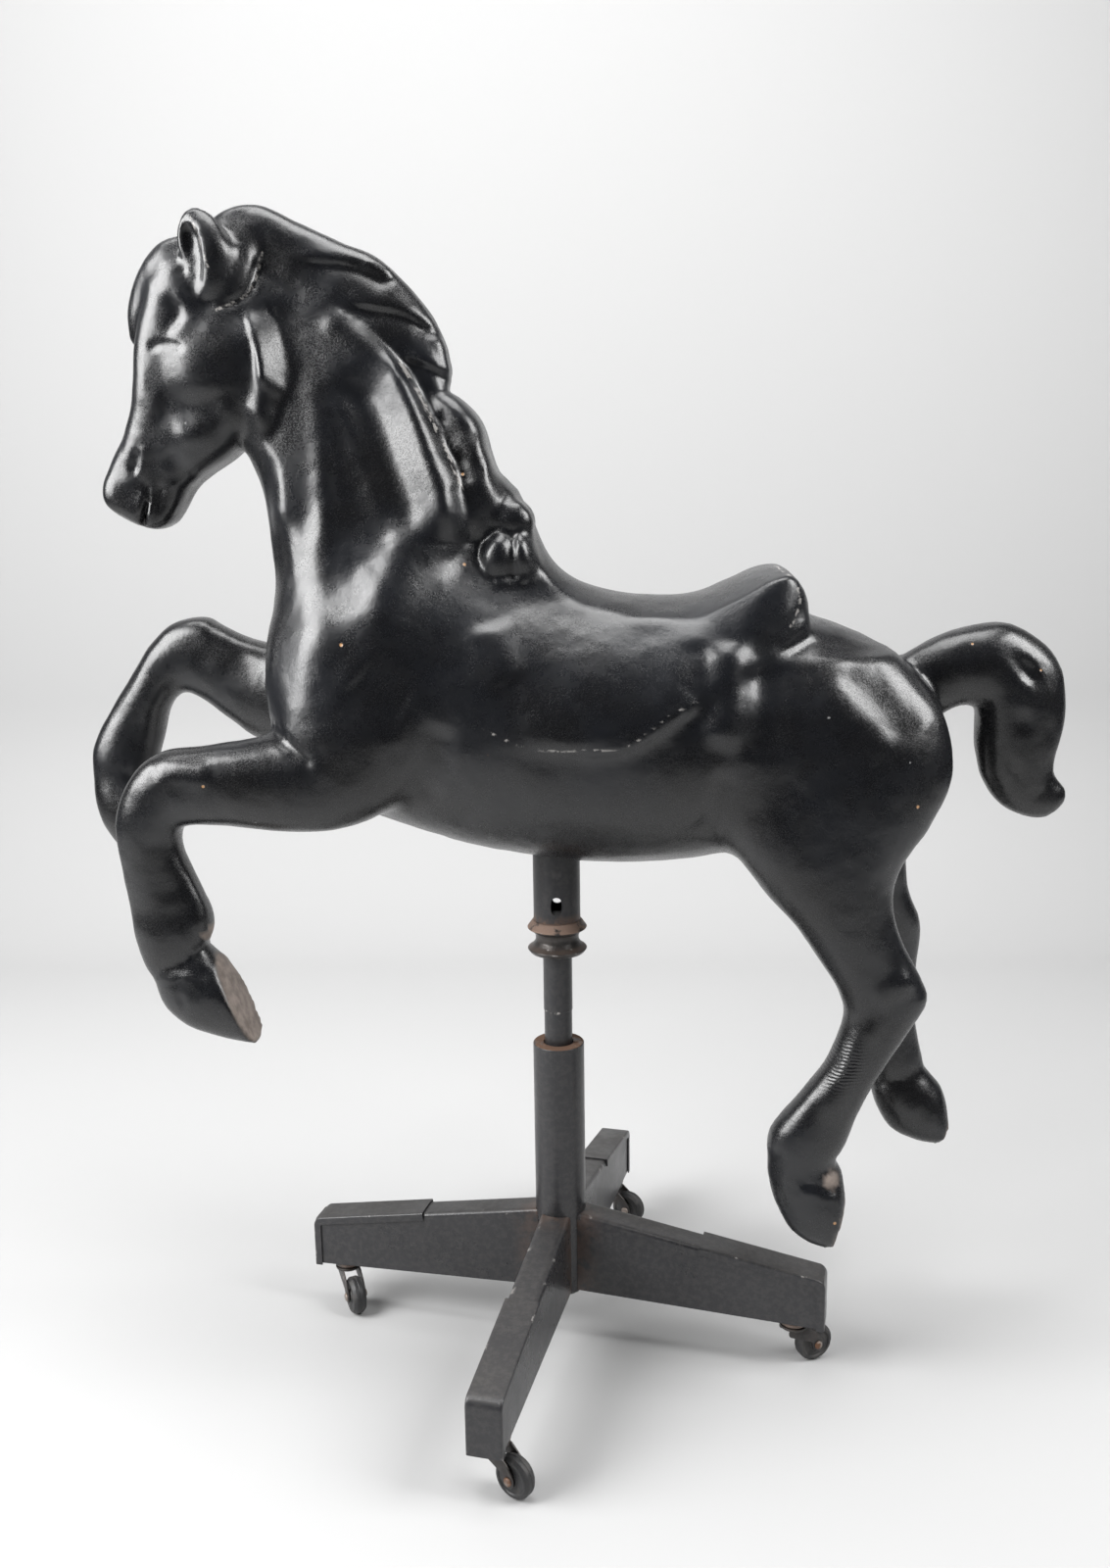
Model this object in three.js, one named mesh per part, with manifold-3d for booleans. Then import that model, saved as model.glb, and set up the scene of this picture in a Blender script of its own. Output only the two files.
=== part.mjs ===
// A carved wooden carousel horse on a wheeled steel stand, in millimetres, +Z up.
// The horse faces -X and its near side faces -Y. The origin is on the floor, below the middle
// of the whole object's box.

import * as THREE from 'three';
import { mergeVertices } from 'three/addons/utils/BufferGeometryUtils.js';
import Module from 'manifold-3d';

const wasm = await Module();
wasm.setup();

// ---- driving dimensions ----

const postX = -8.5;           // the post stands this far along X from the middle of the box
const fit = 0.3;             // gap between pieces that touch
const roundSides = 16;       // sides of the post's round pieces

const armReach = 305;        // post axis to the end of an arm
const armTurn = -13.5;       // the first arm's direction, degrees from +X
const armWidth = 34.8;
const armWall = 2.6;
const armTopAtPost = 162.4;
const armTopAtEnd = 115.4;
const armFootAtPost = 66;
const armFootAtEnd = 56.6;
const coverInnerReach = 165; // the cover starts this far from the post axis
const coverWall = 1.5;
const coverFlange = 9;       // how far the cover laps down an arm's sides

const columnRadius = 28.8;
const columnWall = 3.2;
const columnFoot = 60;
const columnTop = 363.6;
const spindleRadius = 16.2;
const spindleTop = 512;
const collarFoot = 470;
const collarTop = 508;
const flangeRadius = 33.5;
const collarNeckRadius = 23.8;
const sleeveRadius = 26;
const sleeveWall = 3.6;
const sleeveTop = 690;
const slotWidth = 13;
const slotFoot = 518.6;
const slotTop = 539;

const wheelRadius = 21.85;
const wheelWidth = 16;
const axleRadius = 3;
const casterReach = armReach - 35;
const casterTrail = 26.3;
const casterTrails = [24, -28, -64, -38]; // where each wheel trails: right, back, left, front

// ---- materials ----

const paint = (color, roughness, metalness) =>
  new THREE.MeshStandardMaterial({ color, roughness, metalness });
const horseBlack = paint(0x17171a, 0.3, 0);
const steelBlack = paint(0x2b2b2d, 0.5, 0.4);
const rustySteel = paint(0x4a3a32, 0.7, 0.5);
const wheelBlack = paint(0x1d1d1e, 0.6, 0);

// ---- solids ----

const part = new THREE.Group();
const assembly = new THREE.Group(); // everything in it is measured from the post's axis
assembly.position.x = postX;
part.add(assembly);

function solidOf(geometry) {
  const bare = geometry.clone();
  bare.deleteAttribute('normal');
  bare.deleteAttribute('uv');
  const merged = mergeVertices(bare, 1e-4);
  return new wasm.Manifold(new wasm.Mesh({
    numProp: 3,
    vertProperties: new Float32Array(merged.attributes.position.array),
    triVerts: new Uint32Array(merged.index.array),
  }));
}

function geometryOf(solid) {
  const mesh = solid.getMesh();
  const geometry = new THREE.BufferGeometry();
  geometry.setAttribute('position', new THREE.BufferAttribute(mesh.vertProperties, 3));
  geometry.setIndex(new THREE.BufferAttribute(mesh.triVerts, 1));
  return geometry;
}

const joined = (...solids) => solids.reduce((whole, piece) => whole.add(piece));

function place(group, name, geometry, material) {
  const mesh = new THREE.Mesh(geometry, material);
  mesh.name = name;
  group.add(mesh);
  return mesh;
}

// A round piece: its profile, [radius, height] pairs that start and end on the axis or at the
// first pair again, turned about Z.
function turned(profile, sides = roundSides) {
  const points = profile.map(([radius, height]) => new THREE.Vector2(radius, height));
  return new THREE.LatheGeometry(points, sides).rotateX(Math.PI / 2);
}

// Rings of equal length, one after the other, skinned and closed by a flat fan at each end.
function skinned(rings) {
  const positions = [];
  const triangles = [];
  const sides = rings[0].length;
  rings.flat().forEach((point) => positions.push(point.x, point.y, point.z));
  for (let ring = 0; ring < rings.length - 1; ring += 1) {
    for (let side = 0; side < sides; side += 1) {
      const a = ring * sides + side;
      const b = ring * sides + (side + 1) % sides;
      triangles.push(a, b, a + sides, b, b + sides, a + sides);
    }
  }
  [0, rings.length - 1].forEach((end) => {
    const middle = new THREE.Vector3();
    rings[end].forEach((point) => middle.addScaledVector(point, 1 / sides));
    const hub = positions.length / 3;
    positions.push(middle.x, middle.y, middle.z);
    for (let side = 0; side < sides; side += 1) {
      const a = end * sides + side;
      const b = end * sides + (side + 1) % sides;
      triangles.push(...(end === 0 ? [hub, b, a] : [hub, a, b]));
    }
  });
  return closedSolid(positions, triangles);
}

// A solid from positions and triangles, with its faces turned outward.
function closedSolid(positions, triangles) {
  const point = (index) => new THREE.Vector3().fromArray(positions, index * 3);
  let volume = 0;
  for (let i = 0; i < triangles.length; i += 3) {
    const [a, b, c] = [point(triangles[i]), point(triangles[i + 1]), point(triangles[i + 2])];
    volume += a.dot(b.cross(c));
  }
  const outward = volume > 0 ? triangles : triangles.toReversed();
  return new wasm.Manifold(new wasm.Mesh({
    numProp: 3,
    vertProperties: new Float32Array(positions),
    triVerts: new Uint32Array(outward),
  }));
}

// ---- carving ----

// A carved limb is a row of cuts. Each cut is a line in the horse's middle plane, from x1, z1 to
// x2, z2, moved sideways to y = side, and half is half the limb's width across it.
const cut = (x1, z1, x2, z2, side, half) => [x1, z1, x2, z2, side, half];

// A value on the smooth curve through a row of stations, at a fraction between two of them.
function blend(before, from, to, after, t) {
  return from.map((value, i) => {
    const bend = 2 * before[i] - 5 * value + 4 * to[i] - after[i];
    const twist = 3 * value - before[i] - 3 * to[i] + after[i];
    return 0.5 * (2 * value + (to[i] - before[i]) * t + bend * t * t + twist * t * t * t);
  });
}

function smoothed(stations, steps) {
  const rows = [];
  for (let i = 0; i < stations.length - 1; i += 1) {
    const before = stations[Math.max(i - 1, 0)];
    const after = stations[Math.min(i + 2, stations.length - 1)];
    for (let step = 0; step < steps; step += 1) {
      rows.push(blend(before, stations[i], stations[i + 1], after, step / steps));
    }
  }
  rows.push(stations.at(-1));
  return rows;
}

// The oval round one cut: a superellipse whose power squares it off, and whose lean makes the
// second end of the cut narrower than the first.
function oval([x1, z1, x2, z2, side, half], sides, power, lean) {
  const ring = [];
  for (let i = 0; i < sides; i += 1) {
    const angle = (2 * Math.PI * i) / sides;
    const bulge = (wave) => Math.sign(wave) * Math.abs(wave) ** (2 / power);
    const along = bulge(Math.cos(angle));
    const across = bulge(Math.sin(angle)) * half * (1 - lean * along);
    ring.push(new THREE.Vector3(
      (x1 + x2) / 2 + ((x2 - x1) / 2) * along,
      side + across,
      (z1 + z2) / 2 + ((z2 - z1) / 2) * along,
    ));
  }
  return ring;
}

function limb(cuts, { sides = 12, steps = 1, power = 2.2, lean = 0 } = {}) {
  return skinned(smoothed(cuts, steps).map((row) => oval(row, sides, power, lean)));
}

// The same limb on both sides of the horse.
const mirrored = (cuts) => cuts.map(([x1, z1, x2, z2, side, half]) => cut(x1, z1, x2, z2, -side, half));
const pair = (cuts, shape) => joined(limb(cuts, shape), limb(mirrored(cuts), shape));

// An egg: a ball at x, y, z stretched along each axis and tipped about Y by degrees.
function egg(x, y, z, length, width, height, tip = 0) {
  const ball = new THREE.SphereGeometry(1, 8, 4);
  ball.scale(length, width, height);
  ball.rotateY(THREE.MathUtils.degToRad(tip));
  ball.translate(x, y, z);
  return solidOf(ball);
}
const eggPair = (x, y, z, ...size) => joined(egg(x, y, z, ...size), egg(x, -y, z, ...size));

// ---- the horse's body ----

const trunk = limb([
  cut(-302, 792, -302, 744, 0, 30),
  cut(-290, 846, -290, 700, 0, 74),
  cut(-255, 876, -255, 662, 0, 98),
  cut(-190, 895, -190, 632, 0, 113),
  cut(-95, 897, -95, 600, 0, 121),
  cut(0, 866, 0, 583, 0, 125),
  cut(80, 850, 80, 578, 0, 126),
  cut(160, 848, 160, 584, 0, 124),
  cut(235, 846, 235, 602, 0, 118),
  cut(300, 832, 300, 626, 0, 106),
  cut(355, 802, 355, 654, 0, 84),
  cut(392, 772, 400, 684, 0, 54),
  cut(407, 748, 410, 712, 0, 24),
], { sides: 16 });

const neck = limb([
  cut(-346, 1130, -328, 1220, 0, 30),
  cut(-328, 1040, -300, 1224, 0, 46),
  cut(-310, 1003, -258, 1206, 0, 51),
  cut(-299, 972, -206, 1170, 0, 55),
  cut(-295, 933, -160, 1113, 0, 61),
  cut(-292, 893, -122, 1044, 0, 70),
  cut(-290, 852, -86, 975, 0, 84),
  cut(-292, 808, -48, 905, 0, 98),
  cut(-292, 770, 0, 830, 0, 100),
], { sides: 14, power: 2.1, lean: 0.3 });

// ---- the head ----

const skull = limb([
  cut(-346, 1222, -312, 1200, 0, 18),
  cut(-378, 1206, -300, 1160, 0, 38),
  cut(-402, 1178, -288, 1118, 0, 48),
  cut(-414, 1148, -285, 1080, 0, 50),
  cut(-421, 1118, -296, 1043, 0, 48),
  cut(-424, 1088, -328, 1012, 0, 42),
  cut(-430, 1060, -354, 996, 0, 36),
  cut(-442, 1030, -374, 980, 0, 32),
  cut(-456, 1006, -386, 960, 0, 32),
  cut(-465, 985, -396, 945, 0, 33),
  cut(-465, 968, -412, 938, 0, 29),
  cut(-456, 954, -428, 941, 0, 16),
]);

const cheeks = eggPair(-337, -22, 1086, 57, 37, 60, 20);
const brows = eggPair(-392, -40, 1136, 24, 12, 9, -12);
const eyes = eggPair(-397, -43, 1116, 12, 6, 7, -10);
const nostrils = eggPair(-446, -38, 1003, 5, 9, 14, 24);

// The mouth is a shallow groove along each side of the muzzle.
const mouth = pair([
  cut(-416, 986, -410, 986, -36, 7),
  cut(-419, 968, -413, 968, -36, 9),
  cut(-426, 944, -420, 942, -30, 12),
], { sides: 6 });

const forelock = limb([
  cut(-356, 1232, -340, 1206, 0, 20),
  cut(-392, 1223, -366, 1186, 0, 27),
  cut(-416, 1195, -388, 1166, 0, 27),
  cut(-429, 1162, -402, 1148, 0, 22),
  cut(-431, 1136, -412, 1130, 0, 13),
  cut(-430, 1124, -420, 1122, 0, 5),
]);

const ears = pair([
  cut(-350, 1160, -302, 1184, -34, 17),
  cut(-358, 1190, -303, 1206, -39, 20),
  cut(-364, 1220, -316, 1228, -40, 17),
  cut(-362, 1238, -330, 1242, -39, 11),
  cut(-352, 1250, -342, 1251, -38, 4),
], { sides: 8 });

const earHollows = pair([
  cut(-360, 1238, -350, 1242, -50, 6),
  cut(-366, 1212, -343, 1218, -56, 12),
  cut(-356, 1185, -338, 1190, -56, 10),
  cut(-345, 1168, -338, 1170, -52, 5),
], { sides: 8 });

const head = skull.add(cheeks).add(brows).add(eyes)
  .subtract(nostrils).subtract(mouth).add(forelock).add(ears).subtract(earHollows);

// ---- the mane ----

const crest = limb([
  cut(-346, 1240, -330, 1200, 0, 14),
  cut(-318, 1257, -308, 1196, 0, 25),
  cut(-286, 1258, -284, 1180, 0, 29),
  cut(-250, 1239, -256, 1158, 0, 30),
  cut(-212, 1222, -228, 1130, 0, 31),
  cut(-175, 1207, -204, 1102, 0, 32),
  cut(-145, 1181, -182, 1075, 0, 33),
  cut(-119, 1150, -164, 1048, 0, 33),
  cut(-104, 1116, -150, 1025, 0, 32),
  cut(-101, 1085, -138, 1010, 0, 28),
  cut(-106, 1072, -128, 1022, 0, 16),
], { power: 2.4 });

const lowerMane = limb([
  cut(-120, 1082, -160, 1052, 0, 24),
  cut(-92, 1067, -146, 1015, 0, 36),
  cut(-71, 1044, -124, 980, 0, 41),
  cut(-61, 1012, -104, 950, 0, 44),
  cut(-54, 990, -88, 928, 0, 46),
  cut(-44, 972, -72, 915, 0, 44),
], { power: 2.4 });

// Long hollows part the locks. Each runs from its root on the neck to its tip at the crest.
const hollow = (fromX, fromZ, toX, toZ, width, side, depth, carve = limb) => {
  const turn = new THREE.Vector2(toX - fromX, toZ - fromZ).normalize();
  const across = (t, half, sideways, deep) => {
    const x = fromX + (toX - fromX) * t;
    const z = fromZ + (toZ - fromZ) * t + Math.sin(Math.PI * t) * width * 0.3;
    return cut(x - turn.y * half, z + turn.x * half, x + turn.y * half, z - turn.x * half, sideways, deep);
  };
  return carve([
    across(0, width * 0.08, side - 2, depth * 0.4),
    across(0.35, width * 0.38, side, depth * 0.8),
    across(0.7, width * 0.5, side, depth),
    across(1, width * 0.1, side - 1, depth * 0.5),
  ], { sides: 5 });
};

const maneHollows = [
  hollow(-285, 1206, -172, 1183, 26, -36, 10, pair),
  hollow(-212, 1164, -126, 1138, 24, -38, 11, pair),
  hollow(-168, 1098, -114, 1092, 15, -36, 9),
  hollow(-138, 1062, -84, 1026, 20, -44, 10, pair),
  hollow(-114, 1012, -70, 984, 16, -47, 9),
];

// Raised locks lie along the lower edge of each hollow.
const lock = (fromX, fromZ, toX, toZ, width, side) => {
  const turn = new THREE.Vector2(toX - fromX, toZ - fromZ).normalize();
  const across = (t, half, deep) => {
    const x = fromX + (toX - fromX) * t;
    const z = fromZ + (toZ - fromZ) * t + Math.sin(Math.PI * t) * width * 0.5;
    return cut(x - turn.y * half, z + turn.x * half, x + turn.y * half, z - turn.x * half, side, deep);
  };
  return pair([
    across(0, width * 0.12, 3),
    across(0.3, width * 0.42, 7),
    across(0.7, width * 0.5, 9),
    across(1, width * 0.2, 4),
  ], { sides: 6 });
};

const maneLocks = [
  lock(-250, 1172, -118, 1118, 24, -29),
  lock(-182, 1098, -108, 1078, 20, -29),
  lock(-130, 1030, -74, 1000, 22, -38),
];

// Round ends of locks beside the saddle's front.
const curls = joined(
  eggPair(-62, -60, 905, 14, 12, 15),
  eggPair(-38, -56, 918, 8, 10, 17, -8),
  eggPair(-60, -52, 942, 20, 14, 17, 18),
);

const mane = maneLocks.reduce((sum, one) => sum.add(one),
  maneHollows.reduce((sum, one) => sum.subtract(one), crest.add(lowerMane))).add(curls);

// ---- the saddle ----

// A slice of the saddle: the top of the seat, the lower edge of the flaps, how far the rim lies
// below the top, and half the width at the rim and at the flaps.
const slice = (topX, topZ, footX, footZ, rimDrop, rimHalf, flapHalf) =>
  [topX, topZ, footX, footZ, rimDrop, rimHalf, flapHalf];

function saddleRing([topX, topZ, footX, footZ, rimDrop, rimHalf, flapHalf]) {
  const height = Math.hypot(topX - footX, topZ - footZ);
  const at = (drop, y) => new THREE.Vector3(
    topX + ((footX - topX) * drop) / height, y, topZ + ((footZ - topZ) * drop) / height);
  const half = [[rimDrop * 0.3, rimHalf * 0.55], [rimDrop, rimHalf]];
  for (const fall of [0.25, 0.6, 1]) {
    const spread = Math.sin((Math.PI / 2) * fall);
    half.push([rimDrop + (height - rimDrop) * fall, rimHalf + (flapHalf - rimHalf) * spread]);
  }
  half.push([height + 4, flapHalf - 12]);
  const near = half.map(([drop, y]) => at(drop, -y));
  const far = half.map(([drop, y]) => at(drop, y)).reverse();
  return [at(0, 0), ...near, at(height + 4, 0), ...far];
}

const saddle = skinned(smoothed([
  slice(-50, 984, -128, 850, 6, 28, 60),
  slice(-27, 960, -112, 800, 9, 41, 94),
  slice(-4, 908, -88, 758, 14, 52, 118),
  slice(24, 882, -40, 734, 19, 63, 129),
  slice(64, 869, 22, 723, 20, 72, 132),
  slice(108, 863, 72, 724, 19, 78, 133),
  slice(150, 866, 118, 748, 23, 82, 130),
  slice(190, 882, 158, 786, 23, 85, 122),
  slice(222, 893, 200, 818, 13, 86, 110),
  slice(243, 891, 236, 832, 6, 83, 98),
  slice(260, 868, 262, 838, 4, 66, 80),
], 1).map(saddleRing));

// ---- the tail ----

const tailBody = limb([
  cut(360, 790, 398, 725, 0, 26),
  cut(400, 813, 428, 742, 0, 33),
  cut(440, 828, 440, 744, 0, 36),
  cut(478, 830, 452, 738, 0, 38),
  cut(514, 812, 452, 722, 0, 38),
  cut(537, 783, 452, 704, 0, 37),
  cut(545, 744, 454, 688, 0, 35),
  cut(543, 712, 460, 664, 0, 32),
  cut(537, 688, 474, 642, 0, 28),
  cut(537, 668, 492, 627, 0, 24),
  cut(550, 652, 524, 619, 0, 18),
  cut(554, 640, 546, 628, 0, 5),
]);

const tailCarving = [
  hollow(470, 802, 510, 764, 20, -42, 12),
  hollow(484, 744, 498, 712, 14, -42, 10),
  hollow(516, 738, 534, 690, 16, -40, 11),
  hollow(476, 700, 500, 646, 10, -36, 10),
  hollow(500, 646, 532, 646, 9, -30, 9),
];
const tail = tailCarving.reduce((sum, one) => sum.subtract(one), tailBody);

// ---- the legs ----

const legShape = { sides: 10, power: 2.4 };
const hoofShape = { sides: 10, power: 2.3 };

const nearForeleg = joined(
  limb([
    cut(-140, 918, -196, 904, -42, 34),
    cut(-124, 850, -246, 838, -58, 47),
    cut(-114, 790, -276, 782, -66, 55),
    cut(-122, 732, -282, 749, -74, 56),
    cut(-148, 676, -282, 738, -80, 50),
    cut(-196, 641, -290, 734, -86, 44),
    cut(-262, 633, -306, 730, -91, 39),
    cut(-344, 641, -354, 723, -93, 34),
    cut(-377, 640, -400, 716, -93, 32),
    cut(-385, 632, -430, 694, -93, 31),
    cut(-385, 616, -450, 650, -93, 29),
    cut(-376, 590, -448, 598, -92, 26),
    cut(-361, 552, -443, 552, -90, 26),
    cut(-359, 530, -441, 525, -90, 28),
    cut(-368, 508, -432, 488, -89, 26),
    cut(-378, 494, -420, 470, -89, 20),
  ], legShape),
  limb([
    cut(-364, 508, -425, 478, -89, 26),
    cut(-361, 504, -415, 446, -88, 32),
    cut(-358, 500, -388, 421, -88, 35),
    cut(-352, 494, -350, 408, -88, 36),
    cut(-350, 486, -316, 401, -88, 36),
  ], hoofShape),
);

const farForeleg = joined(
  limb([
    cut(-140, 918, -196, 904, 42, 34),
    cut(-138, 845, -248, 850, 56, 46),
    cut(-180, 740, -255, 835, 66, 52),
    cut(-259, 695, -290, 820, 76, 48),
    cut(-308, 691, -310, 808, 82, 43),
    cut(-345, 702, -345, 814, 88, 38),
    cut(-374, 724, -378, 829, 90, 35),
    cut(-402, 745, -398, 838, 91, 33),
    cut(-421, 753, -433, 831, 92, 31),
    cut(-436, 746, -460, 808, 92, 29),
    cut(-446, 728, -480, 779, 92, 27),
    cut(-456, 690, -512, 732, 91, 26),
    cut(-465, 660, -535, 688, 90, 28),
    cut(-480, 645, -536, 655, 89, 24),
  ], legShape),
  limb([
    cut(-467, 652, -537, 668, 89, 26),
    cut(-462, 646, -537, 630, 88, 32),
    cut(-460, 640, -524, 596, 88, 35),
    cut(-457, 634, -500, 566, 88, 36),
    cut(-454, 626, -474, 552, 88, 36),
  ], hoofShape),
);

const nearHindLeg = joined(
  limb([
    cut(208, 790, 350, 806, -52, 40),
    cut(192, 735, 396, 752, -62, 56),
    cut(182, 675, 409, 690, -68, 60),
    cut(178, 620, 392, 640, -74, 57),
    cut(214, 568, 356, 586, -83, 48),
    cut(247, 530, 350, 546, -89, 40),
    cut(276, 488, 365, 500, -92, 33),
    cut(296, 454, 382, 466, -93, 29),
    cut(302, 424, 385, 440, -93, 27),
    cut(286, 378, 345, 370, -92, 25),
    cut(258, 338, 322, 324, -91, 26),
    cut(230, 300, 308, 284, -90, 28),
    cut(226, 272, 296, 264, -90, 27),
    cut(234, 250, 286, 254, -89, 20),
  ], legShape),
  limb([
    cut(226, 262, 297, 268, -89, 26),
    cut(231, 226, 302, 258, -88, 32),
    cut(246, 192, 306, 250, -88, 35),
    cut(266, 172, 308, 240, -88, 36),
    cut(292, 163, 309, 226, -88, 35),
  ], hoofShape),
);

const farHindLeg = joined(
  limb([
    cut(208, 790, 350, 806, 52, 40),
    cut(190, 735, 396, 752, 62, 56),
    cut(184, 675, 409, 690, 68, 60),
    cut(192, 625, 405, 645, 76, 56),
    cut(240, 570, 400, 592, 84, 48),
    cut(290, 529, 406, 520, 90, 40),
    cut(326, 490, 422, 480, 93, 33),
    cut(346, 456, 424, 450, 94, 29),
    cut(356, 424, 420, 412, 94, 26),
    cut(362, 390, 418, 380, 93, 25),
    cut(366, 340, 426, 334, 92, 26),
    cut(367, 300, 434, 294, 90, 27),
    cut(378, 276, 430, 284, 89, 22),
  ], legShape),
  limb([
    cut(371, 275, 434, 294, 89, 26),
    cut(378, 248, 446, 280, 88, 32),
    cut(394, 220, 456, 268, 88, 35),
    cut(420, 206, 461, 252, 88, 36),
    cut(450, 200, 463, 234, 88, 34),
  ], hoofShape),
);

// ---- the whole horse, with the socket that takes the sleeve ----

const socket = solidOf(turned([
  [0, 500], [sleeveRadius + fit, 500], [sleeveRadius + fit, sleeveTop + fit], [0, sleeveTop + fit],
], 24));

const horse = joined(
  trunk, nearForeleg, farForeleg, nearHindLeg, farHindLeg, neck, head, mane, saddle, tail,
).subtract(socket);
place(assembly, 'horse', geometryOf(horse), horseBlack);

// ---- the post: sleeve, collar, spindle and column ----

const sleeveInner = sleeveRadius - sleeveWall;
const slotTall = slotTop - slotFoot;
const slotCut = new THREE.BoxGeometry(slotWidth, 3 * sleeveRadius, slotTall);
slotCut.translate(0, 0, slotFoot + slotTall / 2);
const sleeveTube = solidOf(turned([
  [sleeveInner, collarTop + fit], [sleeveRadius, collarTop + fit],
  [sleeveRadius, sleeveTop], [sleeveInner, sleeveTop], [sleeveInner, collarTop + fit],
]));
place(assembly, 'sleeve', geometryOf(sleeveTube.subtract(solidOf(slotCut))), steelBlack);

const collarBore = spindleRadius + fit;
const flange = 7.5;         // thickness of each of the collar's flanges at its root
place(assembly, 'collar', turned([
  [collarBore, collarFoot], [flangeRadius - 4, collarFoot], [flangeRadius, collarFoot + flange * 0.7],
  [collarNeckRadius, collarFoot + flange * 1.7], [collarNeckRadius, collarTop - flange * 2.1],
  [flangeRadius, collarTop - flange * 1.2], [sleeveRadius + 1, collarTop],
  [collarBore, collarTop], [collarBore, collarFoot],
]), rustySteel);

const columnInner = columnRadius - columnWall;
const columnRing = 24;      // depth of the ring that guides the spindle in the column's mouth
const floorPlate = 6;       // thickness of the column's closed foot
const ringBore = spindleRadius + 0.5;
place(assembly, 'column', turned([
  [0, columnFoot], [columnRadius - 4, columnFoot], [columnRadius, columnFoot + 4],
  [columnRadius, columnTop - 1], [columnRadius - 1, columnTop],
  [ringBore, columnTop], [ringBore, columnTop - columnRing], [columnInner, columnTop - columnRing - 6],
  [columnInner, columnFoot + floorPlate], [0, columnFoot + floorPlate],
]), steelBlack);

const spindleFoot = columnFoot + floorPlate + fit;
const seam = 402;           // above it the spindle is a hair wider
place(assembly, 'spindle', turned([
  [0, spindleFoot], [spindleRadius - 0.6, spindleFoot], [spindleRadius - 0.6, seam],
  [spindleRadius, seam + 0.6], [spindleRadius, spindleTop], [0, spindleTop],
]), steelBlack);

// ---- the four arms ----

// An upside-down channel between two stations along an arm. Each station gives how far out it is
// and the heights of its top and foot; the lip is how round its upper edges are.
function channel(stations, width, wall, lip) {
  const edge = 1;
  const outline = (half, top, foot) => {
    const side = [];
    for (let i = 0; i <= edge; i += 1) {
      const angle = (Math.PI / 2) * (i / edge);
      side.push([half - lip + lip * Math.cos(angle), top - lip + lip * Math.sin(angle)]);
    }
    const left = side.map(([y, z]) => [-y, z]).reverse();
    return [[half, foot], ...side, ...left, [-half, foot]];
  };
  const prism = (half, drop, sink, reach) => skinned(stations.map(({ out, top, foot }, i) =>
    outline(half, top - drop, foot - sink)
      .map(([y, z]) => new THREE.Vector3(out + (i ? reach : -reach), y, z))));
  return prism(width / 2, 0, 0, 0).subtract(prism(width / 2 - wall, wall, 5, 1));
}

const slope = (armTopAtPost - armTopAtEnd) / (armReach - columnRadius);
const footSlope = (armFootAtPost - armFootAtEnd) / (armReach - columnRadius);
const armTop = (out) => armTopAtEnd + slope * (armReach - out);
const armFoot = (out) => armFootAtEnd + footSlope * (armReach - out);
const armLip = 4.5;
const armEnd = armReach - coverWall - fit;
const armStart = columnRadius * 0.6;
const postClear = (columnRadius + fit) / Math.cos(Math.PI / roundSides);
const post = solidOf(turned([[0, 0], [postClear, 0], [postClear, 200], [0, 200]]));

// A plate across the channel near its end takes the caster's stem.
const stemRadius = 5;
const bridgeFoot = 61;
const bridgeThickness = 4;
const bridge = new THREE.BoxGeometry(44, armWidth - armWall, bridgeThickness);
bridge.translate(casterReach, 0, bridgeFoot + bridgeThickness / 2);
const stemHole = solidOf(turned([
  [0, 40], [stemRadius + fit, 40], [stemRadius + fit, 80], [0, 80],
], 16)).translate([casterReach, 0, 0]);

const armSolid = channel([
  { out: armStart, top: armTop(armStart) - coverWall, foot: armFoot(armStart) },
  { out: armEnd, top: armTop(armEnd) - coverWall, foot: armFoot(armEnd) },
], armWidth, armWall, armLip).subtract(post).add(solidOf(bridge)).subtract(stemHole);

// The cover is a strip that laps over the arm's top and folds down over its end.
const coverWidth = armWidth + 2 * (coverWall + fit);
const coverBend = 12;
const coverOut = solidOf(new THREE.ExtrudeGeometry(new THREE.Shape()
  .moveTo(coverInnerReach, armTop(coverInnerReach) + fit)
  .lineTo(armReach - coverBend, armTop(armReach - coverBend) + fit)
  .quadraticCurveTo(armReach, armTop(armReach) + fit, armReach, armTop(armReach) - coverBend)
  .lineTo(armReach, armFootAtEnd - 2)
  .lineTo(armReach - coverFlange, armFootAtEnd - 2)
  .lineTo(armReach - coverFlange, armTop(armReach) - coverBend - 6)
  .lineTo(armReach - coverBend - 12, armTop(armReach) - coverFlange - 1)
  .lineTo(coverInnerReach, armTop(coverInnerReach) - coverFlange),
{ depth: coverWidth, bevelEnabled: false, curveSegments: 3 })
  .rotateX(Math.PI / 2).translate(0, coverWidth / 2, 0));
const armSpace = skinned([
  { out: coverInnerReach - 10, top: armTop(coverInnerReach - 10) },
  { out: armEnd + fit, top: armTop(armEnd + fit) },
].map(({ out, top }) => {
  const half = armWidth / 2 + fit;
  const lip = armLip;
  const roof = top - coverWall + fit;
  return [[half, 20], [half, roof - lip], [half - lip * 0.3, roof - lip * 0.3], [half - lip, roof],
    [lip - half, roof], [lip * 0.3 - half, roof - lip * 0.3], [-half, roof - lip], [-half, 20]]
    .map(([y, z]) => new THREE.Vector3(out, y, z));
}));
const coverSolid = coverOut.subtract(armSpace);

// ---- the four casters ----

const crownTop = 50;        // top of the fork's crown
const crownThickness = 2.6;
const racewayTop = bridgeFoot - fit;
const pinRadius = 3.5;
const raceway = turned([
  [0, 42], [5.5, 42], [5.5, crownTop - crownThickness - fit], [pinRadius, crownTop - crownThickness - fit],
  [pinRadius, crownTop + fit], [13, crownTop + fit], [16.5, crownTop + 3.5],
  [13, racewayTop], [stemRadius, racewayTop], [stemRadius, 80], [0, 80],
], 10);

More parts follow.
